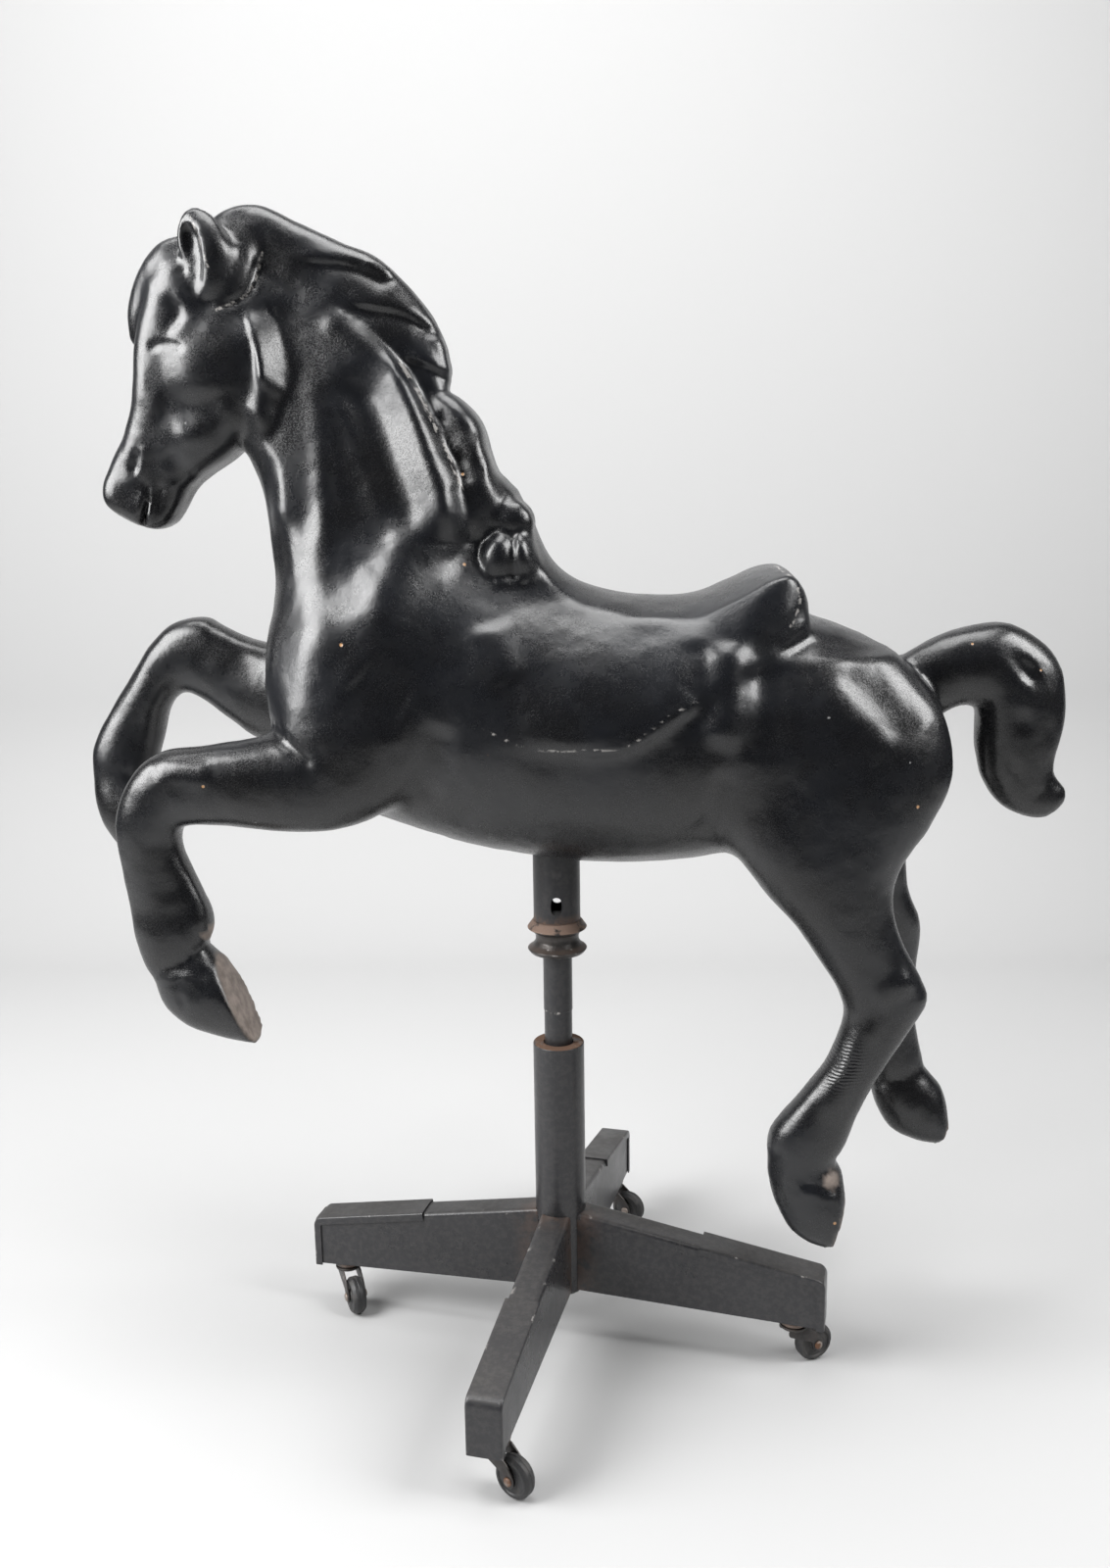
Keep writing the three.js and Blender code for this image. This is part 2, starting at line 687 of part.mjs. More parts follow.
const legInner = wheelWidth / 2 + 1.2;
const legWall = 2;
const legTip = casterTrail + 6.5;
const legOutline = new THREE.Shape([
  [-12, crownTop], [12, crownTop], [legTip - 8, 38], [legTip, 26], [legTip, 19],
  [casterTrail + 3, 14.5], [casterTrail - 4, 14.5], [casterTrail - 8, 27], [-12, 41],
].map(([x, z]) => new THREE.Vector2(x, z)));
const forkLeg = (y) => solidOf(new THREE.ExtrudeGeometry(legOutline, {
  depth: legWall, bevelEnabled: false,
}).rotateX(Math.PI / 2).translate(0, y + legWall / 2, 0));
const crown = solidOf(turned([
  [0, crownTop - crownThickness], [15.5, crownTop - crownThickness], [15.5, crownTop], [0, crownTop],
], 10));
// A bore's flats stay clear of what it holds.
const boreSides = 6;
const borer = (clear, from, to) => {
  const radius = clear / Math.cos(Math.PI / boreSides);
  return solidOf(turned([[0, from], [radius, from], [radius, to], [0, to]], boreSides));
};
const axleBore = borer(axleRadius + fit, -20, 20).rotate([90, 0, 0])
  .translate([casterTrail, 0, wheelRadius]);
const forkSolid = crown.add(forkLeg(legInner + legWall / 2)).add(forkLeg(-legInner - legWall / 2))
  .subtract(borer(pinRadius + fit, 30, 60)).subtract(axleBore);

const axleHead = legInner + legWall + fit;
const axle = turned([
  [0, -axleHead - 1.8], [4, -axleHead - 1.8], [5, -axleHead], [axleRadius, -axleHead],
  [axleRadius, axleHead], [5, axleHead], [4, axleHead + 1.8], [0, axleHead + 1.8],
], 8);

const wheelHalf = wheelWidth / 2;
const wheelBore = axleRadius + fit;
const wheel = turned([
  [wheelBore, -wheelHalf], [wheelRadius - 3, -wheelHalf], [wheelRadius, -wheelHalf + 4],
  [wheelRadius, wheelHalf - 4], [wheelRadius - 3, wheelHalf], [wheelBore, wheelHalf],
  [wheelBore, -wheelHalf],
], 14);

// Each arm carries its cover and caster; the caster hangs in a group of its own and is turned to
// its trail.
const armNames = ['right', 'back', 'left', 'front'];
armNames.forEach((armName, i) => {
  const turn = armTurn + 90 * i;
  const spoke = new THREE.Group();
  spoke.rotation.z = THREE.MathUtils.degToRad(turn);
  assembly.add(spoke);
  place(spoke, `arm_${armName}`, geometryOf(armSolid), steelBlack);
  place(spoke, `cover_${armName}`, geometryOf(coverSolid), steelBlack);
  const caster = new THREE.Group();
  caster.position.x = casterReach;
  caster.rotation.z = THREE.MathUtils.degToRad(casterTrails[i] - turn);
  spoke.add(caster);
  place(caster, `raceway_${armName}`, raceway, rustySteel);
  place(caster, `fork_${armName}`, geometryOf(forkSolid), rustySteel);
  const hub = new THREE.Group();
  hub.position.set(casterTrail, 0, wheelRadius);
  hub.rotation.x = Math.PI / 2;
  caster.add(hub);
  place(hub, `axle_${armName}`, axle, rustySteel);
  place(hub, `wheel_${armName}`, wheel, wheelBlack);
});

export default part;
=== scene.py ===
import math
import bmesh
import bpy
import numpy as np
from mathutils import Matrix, Vector


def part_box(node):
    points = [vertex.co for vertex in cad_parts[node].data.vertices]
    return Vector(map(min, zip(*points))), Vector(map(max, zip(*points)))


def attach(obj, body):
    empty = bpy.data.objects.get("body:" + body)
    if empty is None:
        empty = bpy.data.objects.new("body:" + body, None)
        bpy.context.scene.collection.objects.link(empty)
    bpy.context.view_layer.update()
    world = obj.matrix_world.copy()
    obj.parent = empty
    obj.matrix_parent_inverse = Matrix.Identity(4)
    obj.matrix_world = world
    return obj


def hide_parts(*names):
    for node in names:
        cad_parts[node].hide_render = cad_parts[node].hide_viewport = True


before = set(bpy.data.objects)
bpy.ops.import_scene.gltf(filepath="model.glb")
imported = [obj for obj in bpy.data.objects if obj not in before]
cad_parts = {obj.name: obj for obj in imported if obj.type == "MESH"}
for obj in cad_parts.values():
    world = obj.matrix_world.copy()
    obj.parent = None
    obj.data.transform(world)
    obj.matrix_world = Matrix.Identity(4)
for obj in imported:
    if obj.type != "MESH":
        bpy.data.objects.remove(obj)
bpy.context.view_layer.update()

# ---- the horse ----
# The horse is one wooden carving with its mane, saddle and tail, painted black all over but for the
# hooves' soles. It is laid down limb by limb, each limb a row of saw cuts, and the limbs are run
# together as a carver rounds one form into the next. Its sizes are in millimetres from the post.


def box_mm(node):
    """A node's lowest and highest corners in millimetres."""
    return [np.round(1000 * np.array(corner), 2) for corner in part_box(node)]


column_low, column_high = box_mm("column")
sleeve_low, sleeve_high = box_mm("sleeve")
POST_X = (column_low[0] + column_high[0]) / 2  # where the post stands along X
SLEEVE_RADIUS = (sleeve_high[1] - sleeve_low[1]) / 2
SLEEVE_FOOT, SLEEVE_TOP = sleeve_low[2], sleeve_high[2]
GAP = 0.3  # between pieces that touch


def marks(*stretches):
    """Places along one axis. Each stretch is where it starts, where it ends and the spacing."""
    coarse = 1.0
    runs = []
    for start, end, spacing in stretches:
        runs.append(np.arange(start, end - spacing * coarse / 2, spacing * coarse))
    return np.concatenate(runs + [[stretches[-1][1]]])


# The head, neck and mane are measured more closely than the rest.
ALONG = marks((-560, -30, 3.2), (-30, 572, 5.9))
ACROSS = marks((-152, 152, 4.8))
UP = marks((150, 880, 5.9), (880, 1272, 3.2))
FAR = 60.0  # stands for any distance that is too far out to matter
wood = np.full((len(ALONG), len(ACROSS), len(UP)), FAR, np.float32)  # distance outside the wood
STEPS = 6   # stretches that a curve makes of the way from one saw cut to the next


def cut(x1, z1, x2, z2, side, half):
    """A saw cut from x1, z1 to x2, z2 in the horse's middle plane, moved over to side."""
    return [x1, z1, x2, z2, side, half]


def smoothed(rows, steps=STEPS):
    """Catmull-Rom curves through the columns: each stretch between two rows is a cubic in t."""
    rows = np.array(rows, float)
    before, start = np.vstack([rows[:1], rows[:-2]])[:, None], rows[:-1, None]
    end, after = rows[1:, None], np.vstack([rows[2:], rows[-1:]])[:, None]
    t = np.linspace(0, 1, steps, endpoint=False)[None, :, None]
    bend = 2 * before - 5 * start + 4 * end - after
    twist = 3 * start - before - 3 * end + after
    curve = start + 0.5 * ((end - before) * t + bend * t**2 + twist * t**3)
    return np.vstack([curve.reshape(-1, rows.shape[1]), rows[-1:]])


def nearest_cut(x, z, rows):
    """The cut that passes through each place of the middle plane, mixed from the two beside it.

    A place between two cuts has gone past the first line by one distance and has another left to the
    second, and its share is gone / (gone + left). Returns its position along that cut, from -1 to 1,
    half the cut's length, how far it lies beyond the limb's two ends, and the cut's other columns.
    """
    way = rows[:, 2:4] - rows[:, 0:2]
    way /= np.hypot(way[:, 0], way[:, 1])[:, None] + 1e-9
    middle = (rows[:, 0:2] + rows[:, 2:4]) / 2
    step = np.diff(middle, axis=0)
    heading = np.sign(np.sum(way[:-1, 0] * step[:, 1] - way[:-1, 1] * step[:, 0]))
    beyond = [heading * (w[0] * (z - m[1]) - w[1] * (x - m[0])) for w, m in zip(way, middle)]
    last = len(rows) - 1
    never, well_inside, well_outside = np.full(x.shape, 1e9), -200, 200
    least = never
    found = np.ones((rows.shape[1] - 1,) + x.shape)
    found[0], found[2] = 0, well_outside
    for i in range(-1, last + 1):
        gone = beyond[i] if i >= 0 else never
        left = -beyond[i + 1] if i < last else never
        share = np.clip(gone / np.maximum(gone + left, 1e-9), 0, 1)
        here = rows[max(i, 0)][:, None, None] * (1 - share) + rows[min(i + 1, last)][:, None, None] * share
        half_x, half_z = (here[2] - here[0]) / 2, (here[3] - here[1]) / 2
        reach = np.hypot(half_x, half_z) + 1e-6
        spot = ((x - here[0] - half_x) * half_x + (z - here[1] - half_z) * half_z) / reach**2
        over = np.full(x.shape, float(well_inside))
        if i < STEPS:
            over = np.maximum(over, -beyond[0])
        if i >= last - STEPS:
            over = np.maximum(over, beyond[last])
        cost = np.maximum(np.abs(spot) - 1, 0) * reach + np.maximum(over, 0) + 0.01 * np.abs(spot)
        take = (gone >= 0) & (left >= 0) & (cost < least)
        least = np.where(take, cost, least)
        found = np.where(take, np.stack([spot, reach, over, *here[4:]]), found)
    return found


def run_together(a, b, width):
    """The lesser of two distances, with a fillet: h * h / (4 * width) less, h = width - |a - b|."""
    h = np.maximum(width - np.abs(a - b), 0)
    return np.minimum(a, b) - h * h / (4 * width)


def around(low, high, margin):
    """The part of the grid from low to high, with a margin."""
    block = []
    for axis, start, end in zip((ALONG, ACROSS, UP), low, high):
        first = max(int(np.searchsorted(axis, start - margin)) - 1, 0)
        block.append(slice(first, int(np.searchsorted(axis, end + margin)) + 1))
    return tuple(block)


def add_or_cut(block, distance, join, away):
    """Joins a form to the wood, or cuts it away, with a fillet as wide as join."""
    if away:
        wood[block] = -run_together(-wood[block], distance, join)
    else:
        wood[block] = run_together(wood[block], distance, join)


MARGIN = 12  # how far past a form's fillet the wood is worked


def limb(cuts, join, power=2.2, lean=0.0, away=False, end=8.0):
    """A limb along a row of cuts, each with an oval round it.

    On the oval, |position along the cut| ** power + |distance across / half| ** power is 1, and half
    shrinks by lean towards the cut's second end. A place's distance is how far out from the oval's
    middle it lies, less how far out the oval is on that ray. The ends are flat, rounded over by end.
    """
    rows = smoothed(cuts)
    low = (rows[:, [0, 2]].min(), (rows[:, 4] - rows[:, 5]).min(), rows[:, [1, 3]].min())
    high = (rows[:, [0, 2]].max(), (rows[:, 4] + rows[:, 5]).max(), rows[:, [1, 3]].max())
    block = around(low, high, join + MARGIN)
    x, z = np.meshgrid(ALONG[block[0]], UP[block[2]], indexing="ij")
    spot, reach, over, side, half = (each[:, None] for each in nearest_cut(x, z, rows))
    across = ACROSS[block[1]][None, :, None] - side
    half = half * (1 - lean * np.clip(spot, -1, 1))
    size = (np.abs(spot) ** power + np.abs(across / half) ** power) ** (1 / power)
    distance = np.hypot(spot * reach, across) * (1 - 1 / np.maximum(size, 0.05))
    distance = np.where(size < 0.05, -np.minimum(half, reach), distance)
    add_or_cut(block, -run_together(-distance, -over, end), join, away)


def both_sides(cuts, join, **shape):
    """The same limb on the near side and on the far side."""
    limb(cuts, join, **shape)
    limb([[x1, z1, x2, z2, -side, half] for x1, z1, x2, z2, side, half in cuts], join, **shape)


def egg(x, y, z, length, width, height, join, tip=0.0):
    """An egg on each side of the horse, tipped up at its front by tip degrees.

    A place's distance is how far out from the egg's middle it lies, less how far out the egg is on
    that ray.
    """
    turn = math.radians(tip)
    wide = max(length, height)
    for side in {y, -y}:
        low, high = (x - wide, side - width, z - wide), (x + wide, side + width, z + wide)
        block = around(low, high, join + MARGIN)
        dx = (ALONG[block[0]] - x)[:, None, None]
        dy = (ACROSS[block[1]] - side)[None, :, None]
        dz = (UP[block[2]] - z)[None, None, :]
        along = dx * math.cos(turn) - dz * math.sin(turn)
        rise = dx * math.sin(turn) + dz * math.cos(turn)
        size = np.sqrt((along / length) ** 2 + (dy / width) ** 2 + (rise / height) ** 2)
        out = np.sqrt(along**2 + dy**2 + rise**2) * (1 - 1 / np.maximum(size, 0.05))
        add_or_cut(block, np.where(size < 0.05, -min(length, width, height), out), join, False)


# The body, and the neck that rises out of it.
limb([
    cut(-302, 792, -302, 744, 0, 30), cut(-290, 846, -290, 700, 0, 74), cut(-255, 876, -255, 662, 0, 98),
    cut(-190, 895, -190, 632, 0, 113), cut(-95, 897, -95, 600, 0, 121), cut(0, 866, 0, 583, 0, 125),
    cut(80, 850, 80, 578, 0, 126), cut(160, 848, 160, 584, 0, 124), cut(235, 846, 235, 602, 0, 118),
    cut(300, 832, 300, 626, 0, 106), cut(355, 802, 355, 654, 0, 84), cut(392, 772, 400, 684, 0, 54),
    cut(407, 748, 410, 712, 0, 24),
], 5, end=20)
limb([
    cut(-346, 1130, -328, 1220, 0, 30), cut(-328, 1040, -300, 1224, 0, 46),
    cut(-310, 1003, -258, 1206, 0, 51), cut(-299, 972, -206, 1170, 0, 55), cut(-295, 933, -160, 1113, 0, 61),
    cut(-292, 893, -122, 1044, 0, 70), cut(-290, 852, -86, 975, 0, 84), cut(-292, 808, -48, 905, 0, 98),
    cut(-290, 770, 0, 830, 0, 92), cut(-270, 730, 10, 780, 0, 60),
], 42, power=2.1, lean=0.3, end=40)

# The muscle that runs down the neck beside the mane and swells over the withers.
both_sides([
    cut(-236, 1140, -210, 1164, -8, 15), cut(-210, 1090, -172, 1122, -12, 26),
    cut(-192, 1040, -140, 1076, -20, 32), cut(-176, 992, -108, 1026, -28, 36),
    cut(-164, 950, -82, 982, -32, 40), cut(-146, 912, -70, 940, -30, 38),
], 44, end=20)

# The legs: near and far foreleg, near and far hind leg, each from its root in the body to its fetlock.
limb([
    cut(-140, 918, -196, 904, -42, 34), cut(-124, 850, -246, 838, -58, 47),
    cut(-114, 790, -276, 782, -66, 55), cut(-122, 732, -282, 749, -74, 56),
    cut(-148, 676, -282, 738, -80, 50), cut(-196, 641, -290, 734, -86, 44),
    cut(-262, 633, -306, 730, -91, 39), cut(-344, 641, -354, 723, -93, 34),
    cut(-377, 640, -400, 716, -93, 32), cut(-385, 632, -430, 694, -93, 31),
    cut(-385, 616, -450, 650, -93, 29), cut(-376, 590, -448, 598, -92, 26),
    cut(-361, 552, -443, 552, -90, 26), cut(-359, 530, -441, 525, -90, 28),
    cut(-368, 508, -432, 488, -89, 26), cut(-378, 494, -420, 470, -89, 20),
], 22, power=2.4)
limb([
    cut(-140, 918, -196, 904, 42, 34), cut(-138, 845, -248, 850, 56, 46), cut(-180, 740, -255, 835, 66, 52),
    cut(-259, 695, -290, 820, 76, 48), cut(-308, 691, -310, 808, 82, 43), cut(-345, 702, -345, 814, 88, 38),
    cut(-374, 724, -378, 829, 90, 35), cut(-402, 745, -398, 838, 91, 33), cut(-421, 753, -433, 831, 92, 31),
    cut(-436, 746, -460, 808, 92, 29), cut(-446, 728, -480, 779, 92, 27), cut(-456, 690, -512, 732, 91, 26),
    cut(-465, 660, -534, 688, 90, 28), cut(-480, 645, -534, 655, 89, 24),
], 22, power=2.4)
limb([
    cut(208, 790, 350, 806, -52, 40), cut(192, 735, 396, 752, -62, 56), cut(182, 675, 409, 690, -68, 60),
    cut(178, 620, 392, 640, -74, 57), cut(214, 568, 356, 586, -83, 48), cut(247, 530, 350, 546, -89, 40),
    cut(276, 488, 365, 500, -92, 33), cut(296, 454, 382, 466, -93, 29), cut(302, 424, 385, 440, -93, 27),
    cut(286, 378, 345, 370, -92, 25), cut(258, 338, 322, 324, -91, 26), cut(230, 300, 308, 284, -90, 28),
    cut(226, 272, 296, 264, -90, 27), cut(234, 250, 286, 254, -89, 20),
], 26, power=2.4)
limb([
    cut(208, 790, 350, 806, 52, 40), cut(190, 735, 396, 752, 62, 56), cut(184, 675, 409, 690, 68, 60),
    cut(192, 625, 405, 645, 76, 56), cut(240, 570, 400, 592, 84, 48), cut(290, 529, 406, 520, 90, 40),
    cut(326, 490, 422, 480, 93, 33), cut(346, 456, 424, 450, 94, 29), cut(356, 424, 420, 412, 94, 26),
    cut(362, 390, 418, 380, 93, 25), cut(366, 340, 426, 334, 92, 26), cut(367, 300, 434, 294, 90, 27),
    cut(378, 276, 430, 284, 89, 22),
], 26, power=2.4)

# The hooves, each ending in the cut of its sole.
HOOVES = [
    [cut(-364, 508, -425, 478, -89, 26), cut(-361, 504, -415, 446, -88, 32),
     cut(-358, 500, -388, 421, -88, 35), cut(-352, 494, -350, 408, -88, 36),
     cut(-350, 486, -316, 401, -88, 36)],
    [cut(-467, 652, -535, 668, 89, 26), cut(-462, 646, -535, 630, 88, 32), cut(-460, 640, -524, 596, 88, 35),
     cut(-457, 634, -500, 566, 88, 36), cut(-454, 626, -474, 552, 88, 36)],
    [cut(226, 262, 297, 268, -89, 26), cut(231, 226, 302, 258, -88, 32), cut(246, 192, 306, 250, -88, 35),
     cut(266, 172, 308, 240, -88, 36), cut(292, 163, 309, 226, -88, 35)],
    [cut(371, 275, 434, 294, 89, 26), cut(378, 248, 446, 280, 88, 32), cut(394, 220, 456, 268, 88, 35),
     cut(420, 206, 461, 252, 88, 36), cut(450, 200, 463, 234, 88, 34)],
]
for hoof in HOOVES:
    limb(hoof, 4, power=2.3, end=3)

# The head: skull, cheeks, brows and eyes, and the cleft of the mouth.
limb([
    cut(-346, 1222, -312, 1200, 0, 18), cut(-378, 1206, -300, 1160, 0, 38),
    cut(-402, 1178, -288, 1118, 0, 48), cut(-414, 1148, -285, 1080, 0, 51),
    cut(-421, 1118, -296, 1043, 0, 51), cut(-424, 1088, -328, 1012, 0, 49),
    cut(-430, 1060, -354, 996, 0, 43), cut(-442, 1030, -374, 980, 0, 36), cut(-456, 1006, -386, 960, 0, 32),
    cut(-465, 985, -396, 945, 0, 33), cut(-465, 968, -412, 938, 0, 29), cut(-456, 954, -428, 941, 0, 16),
], 9, power=3.8)
egg(-338, -25, 1100, 64, 36, 62, 6, tip=10)
egg(-366, -28, 1176, 30, 19, 26, 16, tip=-30)
egg(-386, -38, 1107, 14, 9, 9, 4, tip=-8)
both_sides([
    cut(-416, 986, -410, 986, -36, 7), cut(-419, 968, -413, 968, -36, 9), cut(-426, 944, -420, 942, -30, 12),
], 3, away=True)

# The forelock.
limb([
    cut(-356, 1232, -340, 1206, 0, 20), cut(-392, 1223, -366, 1186, 0, 27),
    cut(-416, 1195, -388, 1166, 0, 27), cut(-429, 1162, -402, 1148, 0, 22),
    cut(-431, 1136, -412, 1130, 0, 13), cut(-430, 1124, -420, 1122, 0, 5),
], 12)

# The ears, their openings, and the roots that they rise from.
both_sides([
    cut(-346, 1158, -316, 1172, -30, 18), cut(-357, 1190, -308, 1204, -37, 20),
    cut(-363, 1218, -318, 1226, -40, 17), cut(-361, 1237, -328, 1241, -39, 11),
    cut(-353, 1249, -341, 1250, -38, 5),
], 7)
both_sides([
    cut(-358, 1233, -349, 1235, -50, 5), cut(-364, 1215, -340, 1221, -54, 12),
    cut(-358, 1194, -336, 1198, -55, 11), cut(-346, 1172, -337, 1174, -53, 5),
], 3, away=True)
both_sides([
    cut(-334, 1150, -318, 1146, -28, 14), cut(-340, 1180, -298, 1172, -28, 18),
    cut(-335, 1206, -288, 1202, -24, 18), cut(-330, 1232, -284, 1232, -14, 16),
    cut(-322, 1246, -290, 1246, -6, 10),
], 9, end=14)

# The mane: its crest, its lower part and the curls on the withers.
limb([
    cut(-346, 1240, -330, 1200, 0, 14), cut(-318, 1255, -308, 1196, 0, 25),
    cut(-286, 1256, -284, 1180, 0, 29), cut(-250, 1239, -256, 1158, 0, 30),
    cut(-212, 1222, -228, 1130, 0, 31), cut(-175, 1207, -204, 1102, 0, 32),
    cut(-145, 1181, -182, 1075, 0, 33), cut(-119, 1150, -164, 1048, 0, 33),
    cut(-104, 1116, -150, 1025, 0, 32), cut(-101, 1085, -138, 1010, 0, 28),
    cut(-106, 1072, -128, 1022, 0, 16),
], 8, power=2.4)
limb([
    cut(-120, 1082, -160, 1052, 0, 28), cut(-92, 1067, -146, 1015, 0, 44), cut(-71, 1044, -124, 980, 0, 54),
    cut(-61, 1012, -104, 950, 0, 60), cut(-54, 990, -88, 928, 0, 60), cut(-44, 972, -72, 915, 0, 54),
], 5, power=3.4)
egg(-54, -54, 909, 14, 15, 20, 2, tip=12)
egg(-29, -54, 909, 9, 14, 19, 2, tip=-6)
egg(-40, -44, 946, 20, 13, 15, 9, tip=14)


def saddle(slices, join):
    """The saddle. Each slice runs from the top of the seat to the foot of the flaps, and says how far
    the rim lies below the top, and half the width at the rim and at the flaps.

    The seat falls away from its middle by rim drop * (across / rim half width) ** 2. Below the rim the
    flaps spread as a quarter of a sine wave.
    """
    rows = smoothed(slices)
    side, margin = 140, 16  # how far out the flaps may spread, and the saddle's edge beyond its slices
    block = around((rows[:, [0, 2]].min(), -side, rows[:, [1, 3]].min()),
                   (rows[:, [0, 2]].max(), side, rows[:, [1, 3]].max()), margin)
    x, z = np.meshgrid(ALONG[block[0]], UP[block[2]], indexing="ij")
    spot, reach, over, rim_drop, rim_half, flap_half = (each[:, None] for each in nearest_cut(x, z, rows))
    across = np.abs(ACROSS[block[1]])[None, :, None]
    drop = (spot + 1) * reach
    top = rim_drop * (across / rim_half) ** 2 - drop
    fall = np.clip((drop - rim_drop) / np.maximum(2 * reach - rim_drop, 1), 0, 1)
    width = rim_half + (flap_half - rim_half) * np.sin(math.pi / 2 * fall)
    seat = -run_together(-(across - width) * 0.9, -top * 0.8, 4)
    foot = -run_together(-seat, -(drop - 2 * reach), 10)
    add_or_cut(block, -run_together(-foot, -over, 10), join, False)


saddle([
    [-50, 984, -128, 850, 6, 28, 50], [-27, 960, -112, 800, 9, 41, 70], [-4, 908, -88, 758, 14, 52, 88],
    [24, 882, -40, 734, 19, 63, 114], [64, 869, 22, 723, 20, 72, 132], [108, 863, 72, 724, 19, 78, 133],
    [150, 866, 118, 746, 23, 82, 128], [190, 882, 160, 776, 23, 85, 113], [222, 893, 204, 806, 13, 86, 102],
    [243, 891, 238, 824, 6, 83, 92], [260, 868, 262, 832, 4, 66, 74],
], 20)

# A teardrop hollow's half width and depth, as parts of its width and depth, at shares of its length.
TEARDROP = [(0, 0.08, 0.4), (0.35, 0.38, 0.8), (0.7, 0.5, 1), (1, 0.1, 0.5)]


def hollow(x1, z1, x2, z2, width, side, depth):
    """A teardrop hollow cut into both sides, from its thin end at x1, z1 to x2, z2.

    It bows upwards by 0.3 * width * sin(pi * share).
    """
    run = math.hypot(x2 - x1, z2 - z1)
    right, up = (x2 - x1) / run, (z2 - z1) / run
    cuts = []
    for share, wide, deep in TEARDROP:
        half = width * wide
        x = x1 + (x2 - x1) * share
        z = z1 + (z2 - z1) * share + 0.3 * width * math.sin(math.pi * share)
        ends = x - up * half, z + right * half, x + up * half, z - right * half
        cuts.append(cut(*ends, side, depth * deep))
    both_sides(cuts, 4, away=True)


# The tail, with its hollows.
limb([
    cut(360, 790, 398, 725, 0, 26), cut(400, 813, 428, 742, 0, 33), cut(440, 828, 440, 744, 0, 36),
    cut(478, 830, 452, 738, 0, 38), cut(514, 812, 452, 722, 0, 38), cut(537, 783, 452, 704, 0, 37),
    cut(545, 744, 454, 688, 0, 35), cut(543, 712, 460, 664, 0, 32), cut(537, 688, 474, 642, 0, 28),
    cut(537, 668, 492, 627, 0, 24), cut(550, 652, 524, 619, 0, 18), cut(554, 640, 546, 628, 0, 5),
], 7)
hollow(470, 802, 510, 764, 20, -42, 12)
hollow(484, 744, 498, 712, 14, -42, 10)
hollow(516, 738, 534, 690, 16, -40, 11)
hollow(476, 700, 500, 646, 10, -36, 10)
hollow(500, 646, 532, 646, 9, -30, 9)

# The socket in the belly that takes the stand's sleeve.
SOCKET_RADIUS, SOCKET_TOP = SLEEVE_RADIUS + GAP, SLEEVE_TOP + GAP
block = around((-40, -40, 480), (40, 40, 720), MARGIN)
out = np.hypot(ALONG[block[0]][:, None, None], ACROSS[block[1]][None, :, None])
add_or_cut(block, np.maximum(out - SOCKET_RADIUS, UP[block[2]][None, None, :] - SOCKET_TOP), 1, True)


def skin(field, axes):
    """The surface where the field is 0: one point in each cell it passes through and one quad across
    each grid line it crosses. The point is the mean of the crossings on the cell's twelve edges."""
    sizes = field.shape
    crossings, cells = [], []
    for a in range(3):
        b, c = (a + 1) % 3, (a + 2) % 3
        lower = np.take(field, np.arange(sizes[a] - 1), axis=a)
        upper = np.take(field, np.arange(1, sizes[a]), axis=a)
        at = np.argwhere((lower < 0) != (upper < 0))
        low, high = lower[tuple(at.T)], upper[tuple(at.T)]
        share = low / (low - high)
        place = np.stack([axes[k][at[:, k]] for k in range(3)], axis=1)
        place[:, a] += share * (axes[a][at[:, a] + 1] - place[:, a])
        back_b, back_c = np.eye(3, dtype=int)[b], np.eye(3, dtype=int)[c]
        ring = np.stack([at, at - back_b, at - back_b - back_c, at - back_c], axis=1)
        ring[low > 0] = ring[low > 0][:, ::-1]
        cells.append(np.ravel_multi_index(np.moveaxis(ring, 2, 0), sizes).ravel())
        crossings.append(np.repeat(place, 4, axis=0))
    cells, crossings = np.concatenate(cells), np.concatenate(crossings)
    _, index = np.unique(cells, return_inverse=True)
    count = np.bincount(index)
    points = np.stack([np.bincount(index, crossings[:, k]) / count for k in range(3)], axis=1)
    return points, index.reshape(-1, 4)


def neighbours_mean(values, faces):
    """The mean of each point's neighbours along the quads' edges."""
    start = faces.ravel()
    end = np.roll(faces, -1, axis=1).ravel()
    start, end = np.concatenate([start, end]), np.concatenate([end, start])
    total = [np.bincount(start, values[end, k], len(values)) for k in range(3)]
    return np.stack(total, 1) / np.bincount(start, minlength=len(values))[:, None]


def normals_of(points, faces):
    """Each point's normal, from the sum of its quads' diagonal cross products."""
    a, b, c, d = (points[faces[:, k]] for k in range(4))
    across = np.cross(c - a, d - b)
    total = [np.bincount(faces.ravel(), np.repeat(across[:, k], 4), len(points)) for k in range(3)]
    total = np.stack(total, 1)
    return total / np.maximum(np.linalg.norm(total, axis=1), 1e-9)[:, None]


# The grid's steps are smoothed away: three times in towards the neighbours' mean, and out again.
skin_points, skin_faces = skin(wood, (ALONG, ACROSS, UP))
for step in (0.5, -0.53) * 3:
    skin_points = skin_points + step * (neighbours_mean(skin_points, skin_faces) - skin_points)
skin_normals = normals_of(skin_points, skin_faces)


def fade(low, high, value):
    """0 below low, 1 above high, and 3t**2 - 2t**3 between them."""
    t = np.clip((value - low) / (high - low), 0, 1)
    return t * t * (3 - 2 * t)


